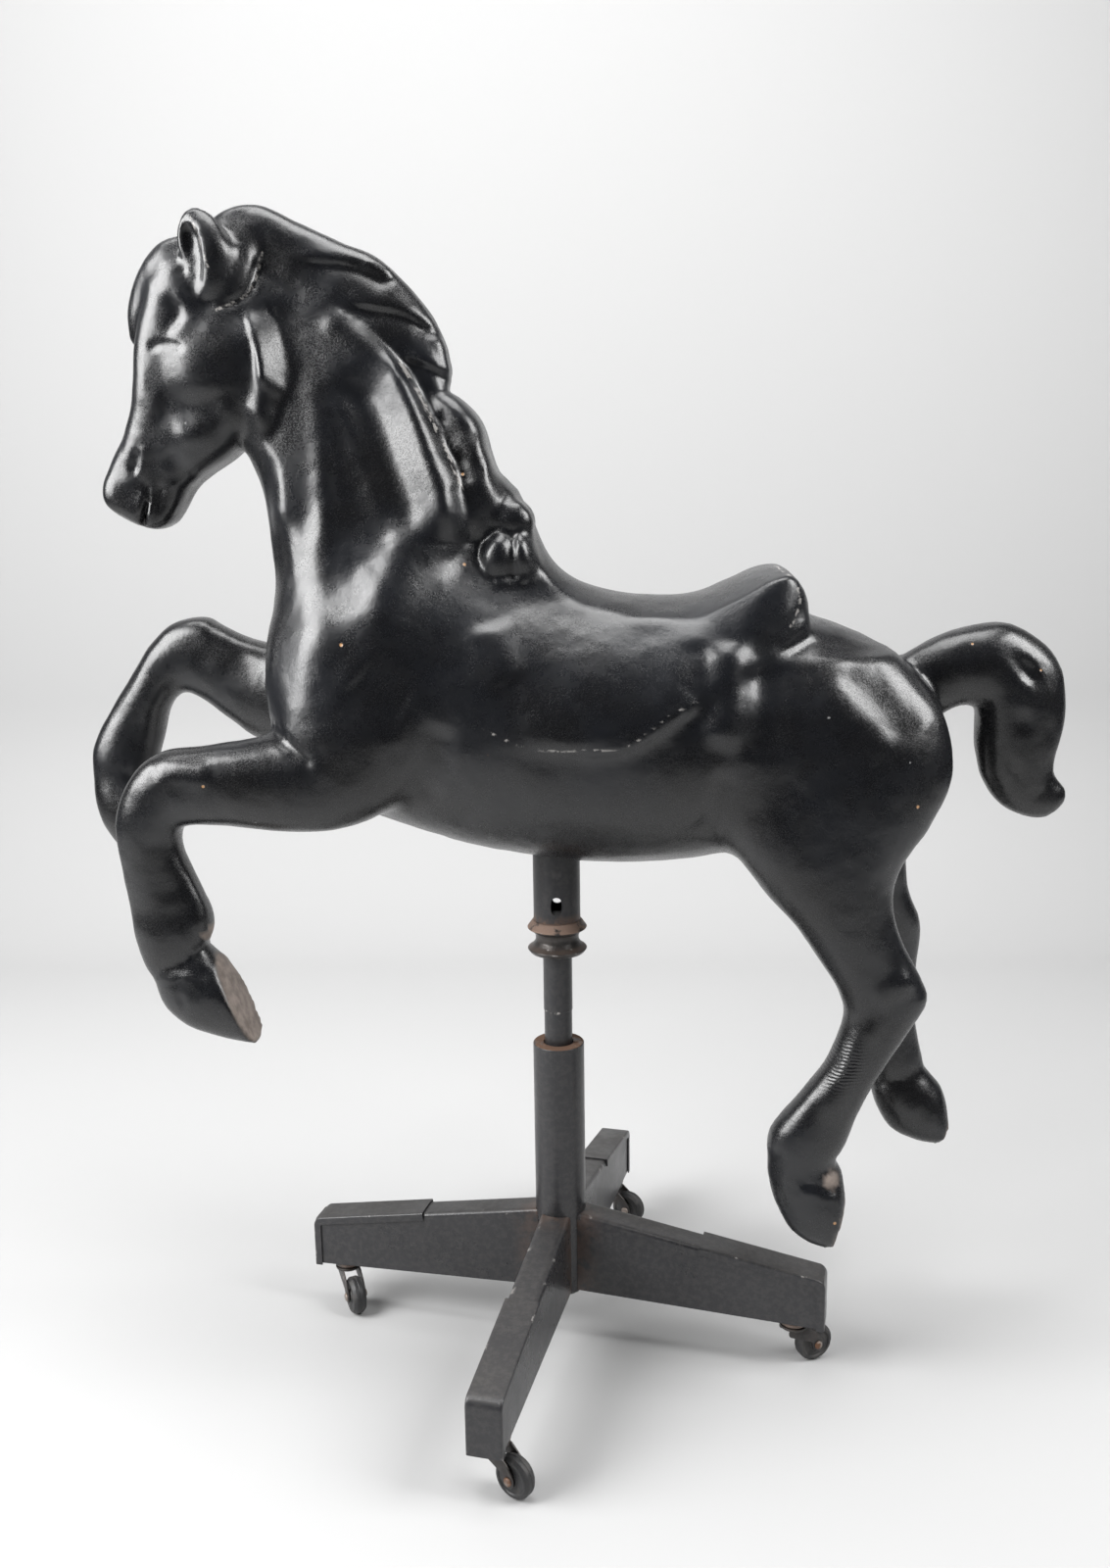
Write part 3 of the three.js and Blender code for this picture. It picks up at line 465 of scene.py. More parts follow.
def from_line(line, x, z):
    """Each place's distance from a smooth line, positive on its left, and its share of the way along."""
    spots = smoothed(line, 4)
    runs = np.hypot(*np.diff(spots, axis=0).T)
    gone = np.concatenate([[0], np.cumsum(runs)])
    least, signed, share = np.full(x.shape, 1e9), np.zeros(x.shape), np.zeros(x.shape)
    for (x1, z1), (x2, z2), start, run in zip(spots[:-1], spots[1:], gone, runs):
        right, up = (x2 - x1) / run, (z2 - z1) / run
        t = np.clip(((x - x1) * right + (z - z1) * up) / run, 0, 1)
        away_x, away_z = x - x1 - t * run * right, z - z1 - t * run * up
        distance = np.hypot(away_x, away_z)
        nearer = distance < least
        least = np.where(nearer, distance, least)
        signed = np.where(nearer, distance * np.sign(right * away_z - up * away_x + 1e-12), signed)
        share = np.where(nearer, (start + t * run) / gone[-1], share)
    return signed, share


def near_line(line, margin, sides):
    """The skin's points near a line in side view. Sides says how far out from the middle plane they
    lie, on both sides, or on the near side alone where it starts below 0."""
    x, y, z = skin_points.T
    x_line, z_line = np.array(line, float).T
    out = y if sides[0] < 0 else np.abs(y)
    inside = (out > sides[0]) & (out < sides[1]) & (skin_normals[:, 1] * y > 0)
    inside &= (x > x_line.min() - margin) & (x < x_line.max() + margin)
    inside &= (z > z_line.min() - margin) & (z < z_line.max() + margin)
    return np.flatnonzero(inside)


FLANKS, HEAD, NEAR_LEG = (35, 200), (12, 70), (-150, -70)  # the sides that near_line takes
raised = np.zeros(len(skin_points))  # what the carver's strokes add to the skin, along the normals


def stroke(line, width, height, edge=None, sides=FLANKS, ends=(0.2, 0.2), left=1.0):
    """A stroke along a line in side view, as wide as width to each side and height high at its middle.

    Its section is height * (1 - (d / width) ** 2) ** 2. With an edge it is a ledge, raised on the
    line's left, by that share of height, and sunk on its right: height * (1 - |d| / width) ** 2 *
    tanh(d / edge). It fades out over a share of its length at each end, and where the skin turns away
    from the side.
    """
    spots = near_line(line, width + 60, sides)
    distance, share = from_line(line, skin_points[spots, 0], skin_points[spots, 2])
    if edge:
        section = np.maximum(1 - np.abs(distance) / width, 0) ** 2 * np.tanh(distance / edge)
        section *= np.where(distance > 0, left, 1)
    else:
        section = np.maximum(1 - (distance / width) ** 2, 0) ** 2
    section *= fade(0, ends[0] + 1e-6, share) * fade(0, ends[1] + 1e-6, 1 - share)
    raised[spots] += height * section * fade(0.12, 0.5, np.abs(skin_normals[spots, 1]))


# The mane: the undersides of its upper locks, the hollows of its lower ones, and its edge on the neck.
for lock, width, height, edge in (
    ([(-262, 1203), (-217, 1200), (-188, 1196), (-150, 1182)], 34, 8.5, 5),
    ([(-212, 1160), (-170, 1154), (-144, 1149), (-106, 1131)], 30, 8.0, 5),
    ([(-158, 1106), (-140, 1104), (-120, 1098), (-98, 1086)], 24, 6.0, 4),
):
    stroke(lock, width, height, edge, HEAD, ends=(0.4, 0.15), left=0.3)
for line, *shape in (
    ([(-118, 1050), (-92, 1036), (-66, 1028)], 15, -2.8),
    ([(-98, 1008), (-82, 1001), (-62, 996)], 12, -2.4),
    ([(-60, 884), (-40, 881), (-20, 888)], 7, 2.5),
):
    stroke(line, *shape, sides=HEAD)
stroke([(-88, 975), (-100, 1006), (-114, 1036), (-132, 1072), (-150, 1102), (-190, 1140)], 36, 6.0, edge=5,
       sides=HEAD, ends=(0.05, 0.4))
stroke([(-114, 1128), (-104, 1106), (-101, 1084)], 9, 2.0, sides=HEAD)
stroke([(-184, 1199), (-158, 1183)], 10, 1.5, sides=HEAD)

# The windpipe and the long muscles of the neck.
stroke([(-244, 1100), (-232, 1045), (-227, 993), (-231, 919), (-240, 870)], 20, 1.5)
stroke([(-218, 1100), (-203, 1030), (-194, 965), (-190, 910)], 40, -3.0)
stroke([(-224, 1153), (-188, 1117), (-152, 1084)], 22, 3.0)
stroke([(-282, 1015), (-278, 950), (-276, 885)], 16, -2.5)

# The jowl, the eye with its lid and brow, the temple, the cheek, the nostril and the mouth.
stroke([(-293, 1024), (-272, 1050), (-266, 1092), (-275, 1128), (-291, 1156)],
       60, 14.0, edge=14, sides=HEAD, left=0.9)
stroke([(-401, 1115), (-388, 1120), (-373, 1119), (-359, 1113)], 7, -2.4, sides=HEAD)
stroke([(-374, 1172), (-362, 1156), (-364, 1141), (-382, 1126)],
       24, 5.5, edge=9, sides=HEAD, ends=(0.2, 0.3))
for line, *shape in (
    ([(-360, 1204), (-350, 1192), (-345, 1178), (-347, 1160)], 30, 6.0, 12),
    ([(-402, 1184), (-384, 1196), (-368, 1203), (-348, 1202)], 34, 6.0, 14),
    ([(-398, 1066), (-360, 1052), (-320, 1052)], 30, -3.0),
    ([(-382, 1034), (-344, 1042), (-306, 1056)], 22, 3.0),
    ([(-430, 1044), (-434, 1012), (-442, 980)], 38, 3.5, 18),
    ([(-420, 1020), (-422, 1010), (-428, 994)], 6, -2.6),
    ([(-410, 1026), (-414, 1008), (-422, 988)], 8, 1.8),
    ([(-398, 988), (-404, 966), (-409, 943)], 6, -2.0),
    ([(-416, 984), (-419, 962), (-421, 944)], 8, 1.4),
    ([(-384, 990), (-391, 965), (-394, 950)], 9, 1.6),
    ([(-392, 1018), (-376, 1000), (-372, 985)], 16, -2.2),
):
    stroke(line, *shape, sides=HEAD)
POLL_CRACK = [(-283, 1207), (-288, 1195), (-294, 1175), (-305, 1163), (-328, 1152)]
stroke(POLL_CRACK, 5, -3.2, sides=HEAD)

# The shoulder and the foreleg's root.
stroke([(-124, 962), (-148, 926), (-192, 890), (-236, 850), (-276, 800)], 110, 3.0, edge=40, ends=(0.2, 0.25))
stroke([(-215, 850), (-238, 820), (-246, 785), (-240, 745)], 36, 2.5)
stroke([(-284, 742), (-262, 725), (-236, 706)], 9, -3.6)
stroke([(-195, 800), (-165, 775), (-140, 760)], 44, -4.0)
stroke([(-142, 664), (-118, 706), (-110, 750)], 26, -4.0)
stroke([(-64, 846), (-56, 812), (-42, 782)], 34, 3.5)
stroke([(-150, 985), (-158, 925), (-180, 880), (-206, 830)], 80, 9.0, edge=28, ends=(0.25, 0.25))

# The rump.
stroke([(348, 712), (314, 754), (276, 794)], 62, 9.0, edge=26)

# The flap's lower edge, and the folds in front of the hip.
stroke([(150, 772), (128, 763), (110, 752), (92, 737), (74, 727), (44, 720), (14, 721)], 18, 2.6, edge=5)
stroke([(178, 830), (178, 792), (174, 755), (164, 715)], 30, 7.5)
stroke([(146, 826), (142, 790), (128, 772)], 22, -3.0)
stroke([(212, 806), (214, 760), (205, 705)], 30, -4.5)
stroke([(148, 618), (163, 652), (174, 700)], 18, -4.0)
stroke([(262, 856), (246, 838), (232, 822), (206, 806), (184, 800)], 24, 4.0, edge=9)

# The near legs and their hooves.
for line, *shape in (
    ([(-402, 697), (-380, 702), (-340, 692)], 18, 2.6),
    ([(-405, 640), (-400, 600), (-396, 560)], 20, -2.4),
    ([(-374, 600), (-366, 560), (-372, 528)], 12, 2.0),
    ([(-424, 478), (-402, 488), (-380, 487), (-362, 474)], 14, -3.6, 3),
    ([(-394, 466), (-384, 452)], 9, -1.4),
    ([(326, 452), (350, 468), (372, 477)], 18, 3.2),
    ([(338, 440), (316, 400), (296, 350), (278, 310)], 16, 2.6),
    ([(248, 262), (260, 245), (280, 241), (302, 232)], 15, -3.4, 3),
    ([(244, 252), (258, 238)], 11, -2.0),
):
    stroke(line, *shape, sides=NEAR_LEG)


def clouds(points, size, seed):
    """Smooth random heights from -1 to 1, about size across: a random lattice, blended by cubics."""
    lattice = np.random.default_rng(seed).uniform(-1, 1, (64, 64, 64))
    place = points / size + 17.3
    cell = np.floor(place).astype(int)
    part = place - cell
    part = part * part * (3 - 2 * part)
    total = np.zeros(len(points))
    for corner in np.ndindex(2, 2, 2):
        weight = np.prod(np.where(corner, part, 1 - part), axis=1)
        at = (cell + corner) % 64
        total += weight * lattice[at[:, 0], at[:, 1], at[:, 2]]
    return total


# A carved surface is never quite even. Nothing is carved close to the socket.
raised += 0.9 * clouds(skin_points, 38, 3) + 0.45 * clouds(skin_points, 15, 5)
from_post = np.hypot(skin_points[:, 0], skin_points[:, 1])
skin_points = skin_points + skin_normals * (raised * fade(28, 50, from_post))[:, None]


def planed(line, width, slope, sides, flat, left=1.0):
    """Planes both sides of the skin along a line in side view, into a strip that rises by slope to the
    line's left. Along the line the strip follows the skin, as a cubic in the share of its length, and
    beyond flat, a share of its width, it runs back into the skin. On the line's left it is as wide as
    left times width."""
    spots = near_line(line, width, sides)
    out, facing = np.abs(skin_points[spots, 1]), np.abs(skin_normals[spots, 1])
    distance, share = from_line(line, skin_points[spots, 0], skin_points[spots, 2])
    middle = (np.abs(distance) < 6) & (facing > 0.3)
    rise = np.polynomial.Polynomial.fit(share[middle], out[middle], 3)
    wanted = rise(share) + slope * distance
    weight = fade(width, flat * width, np.abs(distance) / np.where(distance > 0, left, 1))
    weight *= fade(0, 0.2, share) * fade(0, 0.2, 1 - share) * fade(0.3, 0.6, facing)
    skin_points[spots, 1] += np.sign(skin_points[spots, 1]) * (wanted - out) * weight


# The neck's face below the mane, its front, and the back of the jowl.
planed([(-180, 1110), (-152, 1052), (-136, 1005), (-122, 962), (-118, 920)], 54, 0.44, (40, 130), 0.25, 0.66)
planed([(-258, 1086), (-256, 1010), (-257, 955), (-262, 925)], 34, 0.1, (20, 120), 0.15)
planed([(-292, 1158), (-281, 1135), (-275, 1100), (-273, 1070)], 18, -0.8, (20, 80), 0.4)

# The socket is bored true.
bored = (from_post < SOCKET_RADIUS + 2.5) & (skin_points[:, 2] < SOCKET_TOP - 1)
skin_points[bored, :2] *= (SOCKET_RADIUS / from_post[bored])[:, None]

# Bare wood shows on the soles and at the near side's two rubbed heels.
x, y, z = skin_points.T
near_side = y < 0
bare = np.zeros(len(skin_points))
for hoof in HOOVES:
    x1, z1, x2, z2, side, _ = hoof[-1]
    way = math.hypot(x2 - x1, z2 - z1)
    past = ((x - x1) * (z2 - z1) - (z - z1) * (x2 - x1)) / way
    if (hoof[0][0] - x1) * (z2 - z1) > (hoof[0][1] - z1) * (x2 - x1):
        past = -past
    near_sole = (np.hypot(x - (x1 + x2) / 2, z - (z1 + z2) / 2) < way) & (np.sign(y) == np.sign(side))
    bare = np.maximum(bare, fade(-3.0, -0.5, past) * near_sole)
for heel_x, heel_z in ((291, 250), (-343, 486)):
    bare = np.maximum(bare, fade(11, 6, np.hypot(x - heel_x, z - heel_z)) * near_side)


def to_line(line):
    """How far in millimetres each point of the skin lies from a line in side view, up to 20."""
    distance, _ = from_line(line, x, z)
    return np.where(np.abs(y) > 12, np.minimum(np.abs(distance), 20), 20)


# The paint is scratched along the mane's edge, the poll's crack, the flap, the cantle and the ear.
scratched = np.minimum.reduce([
    to_line([(-88, 975), (-100, 1006), (-114, 1036), (-132, 1072), (-150, 1102)]),
    to_line(POLL_CRACK),
    to_line([(-77, 746), (-44, 730), (-14, 721), (30, 721), (74, 725), (112, 752), (150, 770)]) + 0.3,
    to_line([(232, 894), (247, 872), (247, 854), (238, 836)]),
    to_line([(-347, 1238), (-337, 1209), (-331, 1190)]) + 0.3,
])

# The mark of a rasp, strongest within 20 mm of a spot above the near hind hoof.
rasped = np.exp(-(((x - 298) / 20) ** 2 + ((z - 382) / 20) ** 2)) * near_side

horse_mesh = bpy.data.meshes.new("carved_horse")
horse_mesh.from_pydata((skin_points + [POST_X, 0, 0]) / 1000, [], skin_faces)
horse_mesh.update()
horse_mesh.shade_smooth()
for label, values in (("bare", bare), ("scratched", scratched), ("rasped", rasped)):
    horse_mesh.attributes.new(label, "FLOAT", "POINT").data.foreach_set("value", values.astype(np.float32))
horse = bpy.data.objects.new("carved_horse", horse_mesh)
bpy.context.scene.collection.objects.link(horse)
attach(horse, "root")
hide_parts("horse")


def new_material(name, metallic):
    """A material with its tree and its shader."""
    material = bpy.data.materials.new(name)
    material.use_nodes = True
    shader = material.node_tree.nodes["Principled BSDF"]
    shader.inputs["Metallic"].default_value = metallic
    return material, material.node_tree, shader


def new_group(name, inputs, output, kind):
    """An empty node group with one output. Its inputs are names with their usual values."""
    group = bpy.data.node_groups.new(name, "ShaderNodeTree")
    for label, value in inputs.items():
        group.interface.new_socket(label, in_out="INPUT", socket_type="NodeSocketFloat").default_value = value
    group.interface.new_socket(output, in_out="OUTPUT", socket_type=kind)
    return group, group.nodes.new("NodeGroupInput").outputs, group.nodes.new("NodeGroupOutput").inputs


def wire(tree, *pairs):
    """Joins each output to its input."""
    for output, taker in pairs:
        tree.links.new(output, taker)


def noise(tree, scale, detail, place=None):
    """Noise over a place, or over the object where none is given. Scale is a number or a socket."""
    node = tree.nodes.new("ShaderNodeTexNoise")
    node.inputs["Detail"].default_value = detail
    place = place or tree.nodes.new("ShaderNodeTexCoord").outputs["Object"]
    tree.links.new(place, node.inputs["Vector"])
    if isinstance(scale, (int, float)):
        node.inputs["Scale"].default_value = scale
    else:
        tree.links.new(scale, node.inputs["Scale"])
    return node


def grouped(tree, group, **values):
    """A node group put to use in a material, with its inputs. Returns its output."""
    node = tree.nodes.new("ShaderNodeGroup")
    node.node_tree = group
    for label, value in values.items():
        node.inputs[label].default_value = value
    return node.outputs[0]


def attribute(tree, label):
    """A value that the mesh's points carry."""
    node = tree.nodes.new("ShaderNodeAttribute")
    node.attribute_name = label
    return node.outputs["Fac"]


def calculate(tree, operation, *values):
    """A sum done on sockets or numbers."""
    node = tree.nodes.new("ShaderNodeMath")
    node.operation = operation
    for socket, value in zip(node.inputs, values):
        if isinstance(value, (int, float)):
            socket.default_value = value
        else:
            tree.links.new(value, socket)
    return node.outputs[0]


def times(tree, a, b):
    """Two values multiplied."""
    return calculate(tree, "MULTIPLY", a, b)


def plus(tree, a, b):
    """Two values added up."""
    return calculate(tree, "ADD", a, b)


def spread(tree, value, low, high, to_low=0.0, to_high=1.0):
    """Value as a smooth step: to_low below low and to_high above high."""
    node = tree.nodes.new("ShaderNodeMapRange")
    node.interpolation_type = "SMOOTHSTEP"
    for label, number in (("From Min", low), ("From Max", high), ("To Min", to_low), ("To Max", to_high)):
        node.inputs[label].default_value = number
    tree.links.new(value, node.inputs["Value"])
    return node.outputs["Result"]


def mix(tree, factor, first, second):
    """A colour mixed from two: each is a colour or another node's socket."""
    node = tree.nodes.new("ShaderNodeMix")
    node.data_type = "RGBA"
    sockets = {socket.identifier: socket for socket in (*node.inputs, *node.outputs)}
    tree.links.new(factor, sockets["Factor_Float"])
    for socket, value in ((sockets["A_Color"], first), (sockets["B_Color"], second)):
        if isinstance(value, tuple):
            socket.default_value = value + (1,)
        else:
            tree.links.new(value, socket)
    return sockets["Result_Color"]


# Cloudy patches: none below From and whole above To, where the noise runs from 0 to 1.
patches, given, result = new_group("patches", {"Scale": 20, "From": 0.5, "To": 0.6},
                                   "Mask", "NodeSocketFloat")
cloudy = noise(patches, given["Scale"], 6)
cloudy.inputs["Roughness"].default_value = 0.62
limits = patches.nodes.new("ShaderNodeMapRange")
limits.interpolation_type = "SMOOTHSTEP"
wire(patches, (cloudy.outputs["Fac"], limits.inputs["Value"]), (given["From"], limits.inputs["From Min"]),
     (given["To"], limits.inputs["From Max"]), (limits.outputs["Result"], result["Mask"]))

# Black paint, a little cloudy, with streaks that follow the brush and a few chips, nicks and scratches.
paint, tree, shader = new_material("black_paint", 0)
shader.inputs["IOR"].default_value = 1.6
place = tree.nodes.new("ShaderNodeTexCoord").outputs["Object"]
cloud = grouped(tree, patches, Scale=7, From=0.35, To=0.7)
streaks = grouped(tree, patches, Scale=60, From=0.35, To=0.65)
fine = grouped(tree, patches, Scale=700, From=0.5, To=0.62)
scuffed = times(tree, spread(tree, attribute(tree, "scratched"), 0.8, 2.4, 1, 0),
                grouped(tree, patches, Scale=130, From=0.46, To=0.54))
bare_wood = attribute(tree, "bare")

# One speck lies in each cell. A few are chips down to the wood, and more are nicks in the paint.
specks = tree.nodes.new("ShaderNodeTexVoronoi")
specks.inputs["Scale"].default_value = 42
chosen = tree.nodes.new("ShaderNodeSeparateColor")
wire(tree, (place, specks.inputs["Vector"]), (specks.outputs["Color"], chosen.inputs["Color"]))
chips = times(tree, spread(tree, specks.outputs["Distance"], 0.05, 0.09, 1, 0),
              calculate(tree, "GREATER_THAN", chosen.outputs["Red"], 0.955))
nicks = times(tree, spread(tree, specks.outputs["Distance"], 0.03, 0.06, 1, 0),
              calculate(tree, "GREATER_THAN", chosen.outputs["Green"], 0.86))

colour = mix(tree, cloud, (0.0045, 0.0045, 0.005), (0.006, 0.0068, 0.009))
colour = mix(tree, times(tree, nicks, 0.5), colour, (0.25, 0.25, 0.25))
colour = mix(tree, scuffed, colour, (0.24, 0.23, 0.22))
colour = mix(tree, chips, colour, (0.42, 0.24, 0.12))
grey_wood = mix(tree, streaks, (0.11, 0.085, 0.07), (0.22, 0.18, 0.155))
tree.links.new(mix(tree, bare_wood, colour, grey_wood), shader.inputs["Base Color"])

rough = plus(tree, spread(tree, cloud, 0, 1, 0.25, 0.275), spread(tree, streaks, 0, 1, 0, 0.02))
rough = plus(tree, rough, times(tree, fine, 0.04))
rough = plus(tree, rough, times(tree, bare_wood, 0.35))
tree.links.new(rough, shader.inputs["Roughness"])

# Shallow tool marks, finer brush marks, and the rasp's teeth above the near hind hoof.
tool_marks = noise(tree, 55, 3, place)
teeth = tree.nodes.new("ShaderNodeTexWave")
teeth.bands_direction = "Z"
teeth.inputs["Scale"].default_value = 85
teeth.inputs["Distortion"].default_value = 3.5
teeth_depth = times(tree, attribute(tree, "rasped"), 0.9)
height = plus(tree, tool_marks.outputs["Fac"], times(tree, teeth.outputs["Fac"], teeth_depth))
height = calculate(tree, "SUBTRACT", height, times(tree, calculate(tree, "MAXIMUM", nicks, chips), 0.5))
height = calculate(tree, "SUBTRACT", height, times(tree, fine, 0.06))
relief = tree.nodes.new("ShaderNodeBump")
relief.inputs["Distance"].default_value = 0.0006
wire(tree, (place, teeth.inputs["Vector"]), (height, relief.inputs["Height"]),
     (relief.outputs["Normal"], shader.inputs["Normal"]))
horse_mesh.materials.append(paint)


# ---- the sleeve ----
# A steel tube that is let into the belly and stands on the collar, painted charcoal over bare steel.
# An oblong slot is cut through it on the horse's two sides, where a pin went. Rust has crept up from
# the collar.

SLEEVE_WALL = 3.6
SLOT_FOOT, SLOT_TOP, SLOT_HALF = 518.6, 539.0, 6.5  # the slots' ends, and half their width
SLOT_MIDDLE = (SLOT_FOOT + SLOT_TOP) / 2
SIDES, SLOT_SPAN = 96, 4          # the sides of the tube, and those on each side of a slot's middle
SLOT_ROW, SLOT_ROWS = 2, 8        # the level at the slots' foot, and how many rows they take up
SLOT_SIDES = (SIDES // 4, 3 * SIDES // 4)


def quads(rows, columns, wrap_rows, wrap_columns):
    """The quads of a grid of points, closed on itself along its rows, its columns or both."""
    r = np.arange(rows if wrap_rows else rows - 1)[:, None]
    c = np.arange(columns if wrap_columns else columns - 1)[None, :]
    r2, c2 = (r + 1) % rows, (c + 1) % columns
    corners = [r * columns + c, r2 * columns + c, r2 * columns + c2, r * columns + c2]
    return np.stack(corners, -1).reshape(-1, 4)


def steel_piece(name, shape, body, finish, rusty=0.0):
    """A piece of the stand from points in millimetres round the post. Its faces are turned outwards,
    and its points carry how worn and how rusty they are, from 0 to 1."""
    points, faces, wear = shape
    mesh = bpy.data.meshes.new(name)
    mesh.from_pydata((points + [POST_X, 0, 0]) / 1000, [], faces)
    shell = bmesh.new()
    shell.from_mesh(mesh)
    bmesh.ops.recalc_face_normals(shell, faces=shell.faces)
    shell.to_mesh(mesh)
    shell.free()
    for label, values in (("worn", wear), ("rusty", rusty + np.zeros(len(points)))):
        mesh.attributes.new(label, "FLOAT", "POINT").data.foreach_set("value", values.astype(np.float32))
    mesh.shade_smooth()
    mesh.set_sharp_from_angle(angle=math.radians(40))
    mesh.materials.append(finish)
    piece = bpy.data.objects.new(name + "_dressed", mesh)
    bpy.context.scene.collection.objects.link(piece)
    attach(piece, body)
    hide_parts(name)


# A grainy surface, as deep in metres as Depth.
grain, given, result = new_group("grain", {"Scale": 300, "Depth": 0.0003}, "Normal", "NodeSocketVector")
grain_relief = grain.nodes.new("ShaderNodeBump")
wire(grain, (noise(grain, given["Scale"], 4).outputs["Fac"], grain_relief.inputs["Height"]),
     (given["Depth"], grain_relief.inputs["Distance"]), (grain_relief.outputs["Normal"], result["Normal"]))


def steel_finish(name, colour, dust, rust, rust_from, roughness, metallic=0.0, depth=0.0002):
    """Painted or bare steel: dust on what faces up, rust in patches, and bright metal at worn edges."""
    material, tree, shader = new_material(name, metallic)
    cloud = grouped(tree, patches, Scale=9, From=0.3, To=0.7)
    fine = grouped(tree, patches, Scale=160, From=0.42, To=0.62)
    surface = tree.nodes.new("ShaderNodeNewGeometry")
    facing = tree.nodes.new("ShaderNodeSeparateXYZ")
    tree.links.new(surface.outputs["Normal"], facing.inputs["Vector"])
    settled = times(tree, spread(tree, facing.outputs["Z"], 0.5, 0.95), spread(tree, cloud, 0, 1, 0.35, 0.9))
    near_rust = grouped(tree, patches, Scale=60, From=0.38, To=0.56)
    rusted = calculate(tree, "MAXIMUM", grouped(tree, patches, Scale=34, From=rust_from, To=rust_from + 0.1),
                       times(tree, attribute(tree, "rusty"), near_rust))
    chipped = times(tree, attribute(tree, "worn"), grouped(tree, patches, Scale=48, From=0.58, To=0.64))
    mixed = mix(tree, cloud, colour, tuple(1.35 * part for part in colour))
    mixed = mix(tree, settled, mixed, dust)
    mixed = mix(tree, times(tree, fine, 0.12), mixed, (0.13, 0.12, 0.11))
    mixed = mix(tree, rusted, mixed, rust)
    mixed = mix(tree, chipped, mixed, (0.42, 0.40, 0.38))
    tree.links.new(mixed, shader.inputs["Base Color"])
    rough = plus(tree, spread(tree, cloud, 0, 1, roughness - 0.05, roughness + 0.07),
                 times(tree, calculate(tree, "MAXIMUM", settled, rusted), 0.25))
    tree.links.new(rough, shader.inputs["Roughness"])
    tree.links.new(grouped(tree, grain, Scale=420, Depth=depth), shader.inputs["Normal"])
    return material


charcoal = steel_finish("charcoal_paint", (0.021, 0.021, 0.023), dust=(0.027, 0.025, 0.024),
                        rust=(0.15, 0.085, 0.055), rust_from=0.78, roughness=0.31)

# The tube's wall is a grid of sides and levels. Round a slot the grid's square, with s and t from -1
# to 1, bends to a circle by s * sqrt(1 - t * t / 2) and t * sqrt(1 - s * s / 2), and the circle is
# drawn out to the slot's length.
levels = np.concatenate([[SLEEVE_FOOT, SLEEVE_FOOT + 0.6], np.linspace(SLOT_FOOT, SLOT_TOP, SLOT_ROWS + 1),
                         [545, 600, 660, SLEEVE_TOP]])
side, level = np.meshgrid(np.arange(SIDES), np.arange(len(levels)), indexing="ij")
angle, tall = side * 2 * math.pi / SIDES, levels[level]
for middle in SLOT_SIDES:
    s, t = (side - middle) / SLOT_SPAN, (level - SLOT_ROW) / (SLOT_ROWS / 2) - 1
    inside = (np.abs(s) <= 1) & (np.abs(t) <= 1)
    bent_s, bent_t = s * np.sqrt(np.maximum(1 - t**2 / 2, 0)), t * np.sqrt(np.maximum(1 - s**2 / 2, 0))
    turn = middle * 2 * math.pi / SIDES + np.arcsin(np.clip(SLOT_HALF * bent_s / SLEEVE_RADIUS, -1, 1))
    rise = SLOT_MIDDLE + SLOT_HALF * bent_t + ((SLOT_TOP - SLOT_FOOT) / 2 - SLOT_HALF) * t
    angle, tall = np.where(inside, turn, angle), np.where(inside, rise, tall)
walls = [np.stack([radius * np.cos(angle), radius * np.sin(angle), tall], -1).reshape(-1, 3)
         for radius in (SLEEVE_RADIUS, SLEEVE_RADIUS - SLEEVE_WALL)]
INNER = SIDES * len(levels)  # the inner wall's first point


def edge_quads(loop):
    """The quads between the two walls, along a loop of the outer wall's points."""
    following = np.roll(loop, -1)
    return np.stack([loop, following, following + INNER, loop + INNER], -1)


wall_quads = quads(SIDES, len(levels), True, False)
side, level = np.divmod(wall_quads[:, 0], len(levels))
from_slot = (side % (SIDES // 2) - (SIDES // 4 - SLOT_SPAN)) % (SIDES // 2)
in_slot = (from_slot < 2 * SLOT_SPAN) & (level >= SLOT_ROW) & (level < SLOT_ROW + SLOT_ROWS)
wall_quads = wall_quads[~in_slot]
sleeve_faces = [wall_quads, wall_quads[:, ::-1] + INNER]
for rim in (0, len(levels) - 1):
    sleeve_faces.append(edge_quads(np.arange(SIDES) * len(levels) + rim))
for middle in SLOT_SIDES:
    left, right, low, high = middle - SLOT_SPAN, middle + SLOT_SPAN, SLOT_ROW, SLOT_ROW + SLOT_ROWS
    loop = [(s, low) for s in range(left, right)] + [(right, r) for r in range(low, high)]
    loop += [(s, high) for s in range(right, left, -1)] + [(left, r) for r in range(high, low, -1)]
    sleeve_faces.append(edge_quads(np.array([s * len(levels) + r for s, r in loop])))
angle, tall = angle.ravel(), tall.ravel()
near_collar = np.clip(1 - (tall - SLEEVE_FOOT + GAP) / 9, 0, 1)
at_slot = np.exp(-((np.abs(np.sin(angle)) < 0.975) * 3.0 + np.abs(tall - SLOT_MIDDLE) / 9))
steel_piece("sleeve", (np.vstack(walls), np.vstack(sleeve_faces).tolist(), np.tile(0.5 * at_slot, 2)), "root",
            charcoal, np.tile(near_collar * 0.8, 2))

# ---- the collar ----
# A turned steel collar with two flanges and a hollow waist. It sits on the rod and carries the
# sleeve. Rust has come through its charcoal paint, most of all on the upper flange.

collar_low, collar_high = box_mm("collar")
COLLAR_FOOT, COLLAR_TOP = collar_low[2], collar_high[2]
COLLAR_RADIUS = (collar_high[1] - collar_low[1]) / 2


